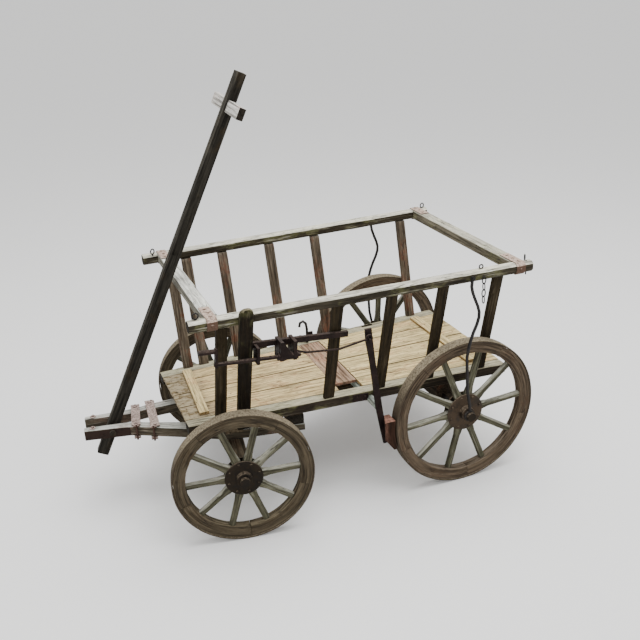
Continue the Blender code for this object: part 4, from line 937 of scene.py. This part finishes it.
def wheel_tyre(prefix, place, radius):
    """A flat iron hoop with rolled edges and shallow dents."""
    bm = bmesh.new()
    rings = []
    half = TYRE_WIDTH / 2
    for i in range(TYRE_STEPS):
        angle = 2 * math.pi * i / TYRE_STEPS
        c, s = math.cos(angle), math.sin(angle)
        dent = TYRE_DENT * (0.5 + 0.5 * noise.noise(Vector((c * 3, s * 3, radius * 40))))
        outer, inner = radius - dent, radius - TYRE_THICK
        near = ((inner, half - 0.0006), (outer - TYRE_ROUND, half),
                (outer - 0.0004, half - TYRE_EDGE), (outer, half * 0.5))
        outline = [(r, -y) for r, y in near] + list(reversed(near))
        rings.append([place @ Vector((c * r, y, s * r)) for r, y in outline])
    loft_into(bm, rings, closed=True)
    return finished(prefix + "_iron_tyre", bm, iron_material("tyre"), prefix + "_wheel",
                    (prefix + "_tyre",))


def wheel_felloes(prefix, place, radius, finish):
    """Five curved rim pieces with thin joints between pairs of spokes."""
    outer = radius - TYRE_THICK - 0.0009
    inner = outer - FELLOE_DEPTH
    half = FELLOE_WIDTH / 2
    mid = (inner + outer) / 2
    edge, corner = FELLOE_EDGE, FELLOE_CHAMFER
    near = ((inner, half - edge), (inner + corner, half - corner), (inner + edge, half),
            (mid, half), (outer - corner, half), (outer, half - corner))
    outline = [(r, -y) for r, y in near] + list(reversed(near)) + [(inner, 0.0)]
    for k in range(FELLOES):
        bm = bmesh.new()
        start = FELLOE_START + k * FELLOE_SWEEP
        sweep = FELLOE_SWEEP - FELLOE_JOINT
        rings = []
        for i in range(FELLOE_STEPS + 1):
            angle = start + FELLOE_JOINT / 2 + sweep * i / FELLOE_STEPS
            rings.append([Vector((math.cos(angle) * r, y, math.sin(angle) * r)) for r, y in outline])
        loft_into(bm, rings)
        position = bm.verts.layers.float_vector.new("place")
        section = bm.verts.layers.float_vector.new("section")
        seed = radius * 50 + k * 2.7 + len(prefix)
        moved = []
        bm.normal_update()
        for v in bm.verts:
            r = math.hypot(v.co.x, v.co.z)
            angle = (math.atan2(v.co.z, v.co.x) - start) % (2 * math.pi)
            v[position] = Vector((angle * mid + seed, r - mid, v.co.y))
            v[section] = Vector((min(1.0, angle / sweep), (r - mid) / (outer - mid), v.co.y / half))
            wave = 0.5 + 0.5 * noise.noise(Vector((angle * 5 + seed, r * 40, v.co.y * 40)))
            chip = max(0.0, noise.noise(Vector((angle * 9 + seed, v.co.y * 50, 3.0))))
            inner_edge = max(0.0, 1 - (r - inner) / 0.006)
            moved.append(-v.normal * (0.0006 * wave + 0.0016 * chip * inner_edge))
        for v, move in zip(bm.verts, moved):
            v.co += move
            v.co = place @ v.co
        finished("%s_felloe_%d" % (prefix, k + 1), bm, wood_material(finish), prefix + "_wheel",
                 (prefix + "_felloes",))


def wheel_spokes(prefix, place, radius, plate):
    """Ten spokes, squared between the plates and slimmer past them."""
    tip = radius - TYRE_THICK - FELLOE_DEPTH - 0.0013
    bm = bmesh.new()
    position = bm.verts.layers.float_vector.new("place")
    section = bm.verts.layers.float_vector.new("section")
    for k in range(SPOKES):
        angle = 2 * math.pi * k / SPOKES + math.pi / 2
        out = Vector((math.cos(angle), 0, math.sin(angle)))
        across = Vector((-math.sin(angle), 0, math.cos(angle)))
        seed = k * 1.9 + radius * 90 + len(prefix)
        rings = []
        for i in range(SPOKE_STEPS + 1):
            t = i / SPOKE_STEPS
            r = SPOKE_ROOT + (tip - SPOKE_ROOT) * t
            shoulder = max(0.0, min(1.0, (r - plate) / SHOULDER_LENGTH))
            room = 2 * r * math.tan(math.pi / SPOKES) * 0.97
            width = min(SPOKE_WIDTH - SPOKE_SLIMMER * shoulder - 0.001 * t, room)
            thick = SPOKE_THICK - SPOKE_THINNER * shoulder
            bend = 0.0006 * noise.noise(Vector((seed, t * 2, 0)))
            outline = superellipse(width, thick, 5.0 - 2.4 * shoulder)
            rings.append([out * r + across * (a + bend) + LEFT * b for a, b in outline])
        for v in loft_into(bm, rings):
            r, a, b = v.co.dot(out), v.co.dot(across), v.co.y
            v[position] = Vector((r + seed, a + seed, b))
            v[section] = Vector(((r - SPOKE_ROOT) / (tip - SPOKE_ROOT), a / 0.0105, b / 0.009))
    bm.normal_update()
    for v in bm.verts:
        p = v[position]
        v.co -= v.normal * 0.0006 * (0.5 + 0.5 * noise.noise(Vector((p.x * 20, p.y * 80, p.z * 80))))
        v.co = place @ v.co
    return finished(prefix + "_oak_spokes", bm, wood_material("spoke"), prefix + "_wheel",
                    (prefix + "_spokes",))


# Hub: bore round the axle and how far the inner barrel reaches
AXLE_ROOM, BARREL_END = 0.0125, 0.0345


def wheel_hub(prefix, place, plate, nose, finish):
    """Iron plates on both sides of the spokes, bolts, nose and inner barrel."""
    iron = settings("iron")
    axis = (place.to_3x3() @ LEFT).normalized()
    centre = place.translation
    bm = bmesh.new()
    face, back = 0.0097, 0.0135
    outside = ((face, plate - 0.0008), (back - 0.0012, plate - 0.0004), (back, plate - 0.002),
               (back + 0.0006, 0.036), (back + 0.001, 0.027), (back + 0.0022, 0.0245),
               (nose - 0.006, 0.0235), (nose - 0.0035, 0.0238), (nose - 0.0012, 0.0228),
               (nose - 0.0004, 0.020), (nose - 0.0006, AXLE_ROOM))
    inside = ((-BARREL_END, AXLE_ROOM), (-BARREL_END, 0.022), (-0.033, 0.0252), (-0.020, 0.0256),
              (-back - 0.001, 0.0258), (-back - 0.0004, 0.030), (-back, plate - 0.002),
              (-back + 0.0012, plate - 0.0004), (-face, plate - 0.0008))
    for profile in (outside, inside):
        turned_into(bm, centre, axis, profile, 40)
    ring = plate - 0.010
    for k in range(iron.hub_bolts):
        angle = 2 * math.pi * (k + 0.3) / iron.hub_bolts
        for way, height, phase in ((1, 0.004, 0.8), (-1, 0.003, 0.5)):
            spot = place @ Vector((math.cos(angle) * ring, way * back, math.sin(angle) * ring))
            bolt_into(bm, spot, axis * way, iron.bolt_radius, height, 6, k * phase)
    return finished(prefix + "_hub", bm, iron_material(finish), prefix + "_wheel")


class CART_OT_wheels(bpy.types.Operator):
    """Four spoked wheels with iron tyres and bolted hub plates"""
    bl_idname = "cart.wheels"
    bl_label = "Wheels"

    def execute(self, context):
        for prefix, radius, plate, nose, phase, felloe, hub in WHEELS:
            place = wheel_frame(prefix, phase)
            wheel_tyre(prefix, place, radius)
            wheel_felloes(prefix, place, radius, felloe)
            wheel_spokes(prefix, place, radius, plate)
            wheel_hub(prefix, place, plate, nose, hub)
        return {"FINISHED"}


# Corner straps: name, side, crossbar, shift along the rail, reach over the bar, width
STRAPS = (
    ("front_left", 1, "front_top_crossbar", 0.004, 0.058, 0.030),
    ("front_right", -1, "front_top_crossbar", 0.004, 0.058, 0.030),
    ("rear_left", 1, "rear_top_crossbar", 0.002, 0.062, 0.032),
    ("rear_right", -1, "rear_top_crossbar", 0.002, 0.062, 0.032),
)


class CART_OT_straps(bpy.types.Operator):
    """Rusty straps that tie the crossbars to the top rails"""
    bl_idname = "cart.straps"
    bl_label = "Corner straps"

    def execute(self, context):
        thick = settings("iron").strap_thickness
        off = thick / 2 + 0.0003
        half_y, half_z = TOP_RAIL_HALF
        bend = 0.008
        for name, side, bar, shift, reach, width in STRAPS:
            low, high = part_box(bar)
            x = (low.x + high.x) / 2 + shift
            rail = rail_at(x, side)
            inner = abs(rail.y) - half_y
            outer = abs(rail.y) + half_y + off
            over, under = rail.z + half_z + off, rail.z - half_z - off
            line = ((inner - reach, over), (inner, over), (outer - bend - off, over),
                    (outer, rail.z + half_z - bend), (outer, rail.z - half_z + bend),
                    (outer - bend - off, under), (inner + bend, under))
            bm = bmesh.new()
            strip_into(bm, [Vector((x, side * y, z)) for y, z in line], FORWARD, width, thick)
            face = over + thick / 2
            for share in (0.25, 0.72):
                spot = (x + 0.004 * (share - 0.5), side * (inner - reach * share), face)
                bolt_into(bm, spot, UP, 0.0040, 0.0026, 10)
            bolt_into(bm, (x, rail.y, face), UP, 0.0044, 0.0030, 6)
            spot = (x, side * (outer + thick / 2), rail.z - 0.002)
            bolt_into(bm, spot, LEFT * side, 0.0042, 0.0028, 10)
            finished(name + "_strap", bm, iron_material("strap"), BODY)
        return {"FINISHED"}


# Eyes and the chain's staple on the top rails: name, middle, way across the ring, radius
EYES = (
    ("front_left_eye", (0.3850, 0.306, 0.7395), (1, 0, 0), 0.0085),
    ("front_right_eye", (0.3760, -0.296, 0.7395), (0.8, 0.6, 0), 0.0085),
    ("rear_left_eye", (-0.6480, 0.330, 0.7435), (0.5, 0.86, 0), 0.0075),
    ("rear_right_eye", (-0.6480, -0.330, 0.7435), (0.9, 0.3, 0), 0.0085),
    ("chain_staple", (-0.4920, 0.331, 0.7390), (1, 0, 0), 0.0065),
)
EYE_WIRE, EYE_FOOT, EYE_STEPS = 0.0021, 0.006, 14


def eye_into(bm, centre, across, radius):
    """An upright ring of wire on a short foot."""
    centre, across = Vector(centre), Vector(across).normalized()
    ring = []
    for i in range(EYE_STEPS):
        angle = -math.pi / 2 + 2 * math.pi * i / EYE_STEPS
        ring.append(centre + (across * math.cos(angle) + UP * math.sin(angle)) * radius)
    tube_into(bm, ring, EYE_WIRE, closed=True)
    turned_into(bm, centre - UP * (radius + EYE_FOOT), UP, ((0, EYE_WIRE), (EYE_FOOT, EYE_WIRE)), 8)


def fork_point(ahead, across, height):
    """A point of the steered front carriage in the cart's frame."""
    return KING + AHEAD * ahead + ACROSS * across + UP * height


# Rows of nails across the floor
NAIL_ROWS = (0.398, 0.243, -0.085, -0.170, -0.425, -0.625)
NAIL_HEAD = ((0, 0.0024), (0.0008, 0.0022), (0.0011, 0.0012))
# Washer and bolt at the tips of the fork arms: ahead, across, height, and their profiles
ARM_BOLT = (0.430, 0.0375, 0.2853)
ARM_WASHER = ((0, 0.0095), (0.0012, 0.0095), (0.0018, 0.0085))
ARM_HEAD = ((0.0015, 0.0048), (0.0052, 0.0048), (0.0062, 0.0032))
# Upper ends of the stays and how far the bolts stand out from the rails
STAY_END_X, STAY_END_Z, STAY_BOLT_OUT = -0.4505, 0.7165, 0.0105
# Plates on the fork clips: clip, reach past its left end, twist
CLIP_PLATES = (("front", 0.0, 0.0), ("rear", 0.006, 0.08))
CLIP_WIDTH, CLIP_THICK, CLIP_SINK = 0.028, 0.0024, 0.0035
# Shoe on the left arm's side: ahead and across of its bends, height
SHOE_BENDS = ((0.4555, 0.0490), (0.330, 0.0565), (0.308, 0.0575))
SHOE_HEIGHT, SHOE_WIDTH, SHOE_THICK = 0.2665, 0.030, 0.0015
SHOE_BOLT = (0.405, 0.0530, 0.262)
# Bracket of the brake shaft on the left lower rail: x and z of its ends and bolts
BRACKET_ENDS = ((-0.105, 0.331), (-0.156, 0.329))
BRACKET_BOLTS = ((-0.118, 0.332), (-0.146, 0.330))
BRACKET_MIDDLE, BRACKET_WIDTH, BRACKET_THICK = -0.130, 0.026, 0.002
# Hook on the right lower rail: x and z of its bends, and the plate behind it
HOOK_Y, HOOK_WIRE = -0.196, 0.0048
HOOK_BENDS = ((-0.117, 0.3475), (-0.117, 0.400), (-0.114, 0.420), (-0.104, 0.431),
              (-0.092, 0.426), (-0.089, 0.412))
HOOK_PLATE = ((-0.117, -0.196, 0.352), (-0.104, -0.198, 0.368), (-0.090, -0.199, 0.372))
PLATE_WIDTH, PLATE_THICK = 0.016, 0.010
# Pin that hangs from the left rear eye
PIN_RADIUS = 0.0020
PIN_LINE = ((-0.648, 0.3385, 0.735), (-0.6485, 0.3400, 0.716), (-0.6475, 0.3395, 0.690))


def plank_nails(bm):
    """Pairs of nail heads in rows across the planks."""
    for x in NAIL_ROWS:
        limits = [share * low_rail_y(x) for share in (-0.86, *PLANK_SEAMS, 0.86)]
        for near, far in zip(limits, limits[1:]):
            for share in (0.25, 0.75):
                wander = 0.006 * noise.noise(Vector((x * 40, share * 9, near * 50)))
                spot = (x + wander, near + (far - near) * share + wander, DECK_TOP - 0.0008)
                turned_into(bm, spot, UP, NAIL_HEAD, 8)


class CART_OT_fittings(bpy.types.Operator):
    """Eyes, hooks, bolts, plates and nails on wood and iron"""
    bl_idname = "cart.fittings"
    bl_label = "Fittings"

    def execute(self, context):
        for name, centre, across, radius in EYES:
            bm = bmesh.new()
            eye_into(bm, centre, across, radius)
            finished(name, bm, iron_material("stay"), BODY)

        bm = bmesh.new()
        plank_nails(bm)
        finished("plank_nails", bm, iron_material("bolt"), BODY)

        for word, side in (("left", 1), ("right", -1)):
            ahead, across, height = ARM_BOLT
            spot = fork_point(ahead, side * across, height)
            bm = bmesh.new()
            turned_into(bm, spot, UP, ARM_WASHER, 18)
            turned_into(bm, spot, UP, ARM_HEAD, 8)
            finished(word + "_arm_bolt", bm, iron_material("clip"), CARRIAGE)

            out = rail_at(STAY_END_X, side).y + side * (TOP_RAIL_HALF[0] + STAY_BOLT_OUT)
            bm = bmesh.new()
            bolt_into(bm, (STAY_END_X, out, STAY_END_Z), LEFT * side, 0.0050, 0.0042)
            finished(word + "_stay_bolt", bm, iron_material("stay"), BODY)

        for name, reach, twist in CLIP_PLATES:
            low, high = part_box(name + "_fork_clip")
            ahead = ((low + high) / 2 - KING).dot(AHEAD)
            half = (high.y - low.y) / 2
            top = high.z - CLIP_SINK
            line = [fork_point(ahead - y * twist, y, top) for y in (-half, 0.0, half * 0.9 + reach)]
            bm = bmesh.new()
            strip_into(bm, line, AHEAD, CLIP_WIDTH, CLIP_THICK)
            for y in (-half + 0.016, half - 0.014):
                spot = fork_point(ahead - y * twist, y, top + CLIP_THICK / 2)
                bolt_into(bm, spot, UP, 0.0052, 0.0032, 8)
            finished(name + "_clip_plate", bm, iron_material("clip"), CARRIAGE)

        bm = bmesh.new()
        line = [fork_point(x, y, SHOE_HEIGHT) for x, y in SHOE_BENDS]
        strip_into(bm, line, UP, SHOE_WIDTH, SHOE_THICK)
        bolt_into(bm, fork_point(*SHOE_BOLT), ACROSS, 0.0042, 0.0026)
        finished("left_arm_shoe", bm, iron_material("shoe"), CARRIAGE)

        bm = bmesh.new()
        y = low_rail_y(BRACKET_MIDDLE) + LOW_RAIL_HALF + 0.0014
        (front_x, front_z), (rear_x, rear_z) = BRACKET_ENDS
        line = ((front_x, y - 0.0015, front_z), (rear_x, y + 0.0015, rear_z))
        strip_into(bm, line, UP, BRACKET_WIDTH, BRACKET_THICK)
        for (x, z), out in zip(BRACKET_BOLTS, (0.0006, 0.0018)):
            bolt_into(bm, (x, y + out, z), LEFT, 0.0040, 0.0030)
        finished("shaft_bracket", bm, iron_material("brake"), BODY)

        bm = bmesh.new()
        tube_into(bm, [(x, HOOK_Y, z) for x, z in HOOK_BENDS], HOOK_WIRE)
        strip_into(bm, HOOK_PLATE, LEFT, PLATE_WIDTH, PLATE_THICK)
        finished("right_rail_hook", bm, iron_material("stay"), BODY)

        bm = bmesh.new()
        tube_into(bm, PIN_LINE, PIN_RADIUS)
        finished("hanging_pin", bm, iron_material("stay"), BODY)
        return {"FINISHED"}


# Half the side of the studio floor, and how far it lies under the wheels
FLOOR_REACH, FLOOR_DROP = 70.0, 0.0002
# Soft lights: name, its strength in the stage settings, size, place, aim
LIGHTS = (
    ("key", "key_power", 3.0, (-0.4, 0.3, 3.6), (0, 0, 0.3)),
    ("fill", "fill_power", 3.0, (1.6, 3.6, 1.6), (0, 0, 0.4)),
)
CAMERA_PLACE = (0.8250, 2.3745, 1.6217)
CAMERA_YAW, CAMERA_PITCH, CAMERA_ROLL = -1.9418, 0.4082, -0.0414
CAMERA_SHIFT = (-0.0024, -0.0028)


class CART_OT_stage(bpy.types.Operator):
    """Pale floor, soft light and the camera"""
    bl_idname = "cart.stage"
    bl_label = "Stage"

    def execute(self, context):
        stage = settings("stage")
        bm = bmesh.new()
        corners = ((-1, -1), (1, -1), (1, 1), (-1, 1))
        bm.faces.new([bm.verts.new((x * FLOOR_REACH, y * FLOOR_REACH, -FLOOR_DROP)) for x, y in corners])
        mesh = bpy.data.meshes.new("studio_floor")
        bm.to_mesh(mesh)
        bm.free()
        pale = bpy.data.materials.new("studio_floor")
        pale.use_nodes = True
        shader = pale.node_tree.nodes["Principled BSDF"]
        shader.inputs["Base Color"].default_value = stage.floor_colour
        shader.inputs["Roughness"].default_value = 0.9
        mesh.materials.append(pale)
        floor = bpy.data.objects.new("studio_floor", mesh)
        context.scene.collection.objects.link(floor)

        world = bpy.data.worlds.new("studio")
        context.scene.world = world
        world.use_nodes = True
        background = world.node_tree.nodes["Background"]
        background.inputs["Color"].default_value = (1.0, 1.0, 1.0, 1.0)
        background.inputs["Strength"].default_value = stage.sky

        for name, power, size, spot, target in LIGHTS:
            data = bpy.data.lights.new(name, "AREA")
            data.energy = getattr(stage, power)
            data.size = size
            lamp = bpy.data.objects.new(name, data)
            lamp.location = spot
            lamp.rotation_mode = "QUATERNION"
            lamp.rotation_quaternion = (Vector(target) - Vector(spot)).to_track_quat("-Z", "Y")
            context.scene.collection.objects.link(lamp)

        level, drop = math.cos(CAMERA_PITCH), math.sin(CAMERA_PITCH)
        forward = Vector((math.cos(CAMERA_YAW) * level, math.sin(CAMERA_YAW) * level, -drop))
        right = Vector((math.sin(CAMERA_YAW), -math.cos(CAMERA_YAW), 0))
        up = right.cross(forward)
        c, s = math.cos(CAMERA_ROLL), math.sin(CAMERA_ROLL)
        turned_right, turned_up = right * c + up * s, up * c - right * s
        data = bpy.data.cameras.new("camera")
        data.lens = stage.lens
        data.sensor_width = 36.0
        data.shift_x, data.shift_y = CAMERA_SHIFT
        camera = bpy.data.objects.new("camera", data)
        turn = Matrix((turned_right, turned_up, -forward)).transposed().to_4x4()
        camera.matrix_world = Matrix.Translation(CAMERA_PLACE) @ turn
        context.scene.collection.objects.link(camera)
        context.scene.camera = camera
        return {"FINISHED"}


OPERATORS = (CART_OT_rails, CART_OT_slats, CART_OT_floor, CART_OT_crossbars, CART_OT_running_gear,
             CART_OT_pole, CART_OT_brake, CART_OT_wheels, CART_OT_straps, CART_OT_fittings, CART_OT_stage)


class CART_PT_panel(bpy.types.Panel):
    """Lists the groups of the cart"""
    bl_idname = "CART_PT_panel"
    bl_label = "Ladder Cart"
    bl_space_type = "VIEW_3D"
    bl_region_type = "UI"
    bl_category = "Ladder Cart"

    def draw(self, context):
        for kind in ("wood", "iron", "stage"):
            group = settings(kind)
            box = self.layout.box()
            for key in group.bl_rna.properties.keys():
                if key not in ("rna_type", "name"):
                    box.prop(group, key)
        for operator in OPERATORS:
            self.layout.operator(operator.bl_idname)


GROUPS = (("wood", CartWood), ("iron", CartIron), ("stage", CartStage))


def register():
    for kind, group in GROUPS:
        bpy.utils.register_class(group)
        setattr(bpy.types.Scene, "cart_" + kind, PointerProperty(type=group))
    for item in (*OPERATORS, CART_PT_panel):
        bpy.utils.register_class(item)


def unregister():
    for item in reversed((*OPERATORS, CART_PT_panel)):
        bpy.utils.unregister_class(item)
    for kind, group in reversed(GROUPS):
        delattr(bpy.types.Scene, "cart_" + kind)
        bpy.utils.unregister_class(group)


def main():
    register()
    bpy.ops.cart.rails()
    bpy.ops.cart.slats()
    bpy.ops.cart.floor()
    bpy.ops.cart.crossbars()
    bpy.ops.cart.running_gear()
    bpy.ops.cart.pole()
    bpy.ops.cart.brake()
    bpy.ops.cart.wheels()
    bpy.ops.cart.straps()
    bpy.ops.cart.fittings()
    bpy.ops.cart.stage()


if __name__ == "__main__":
    main()
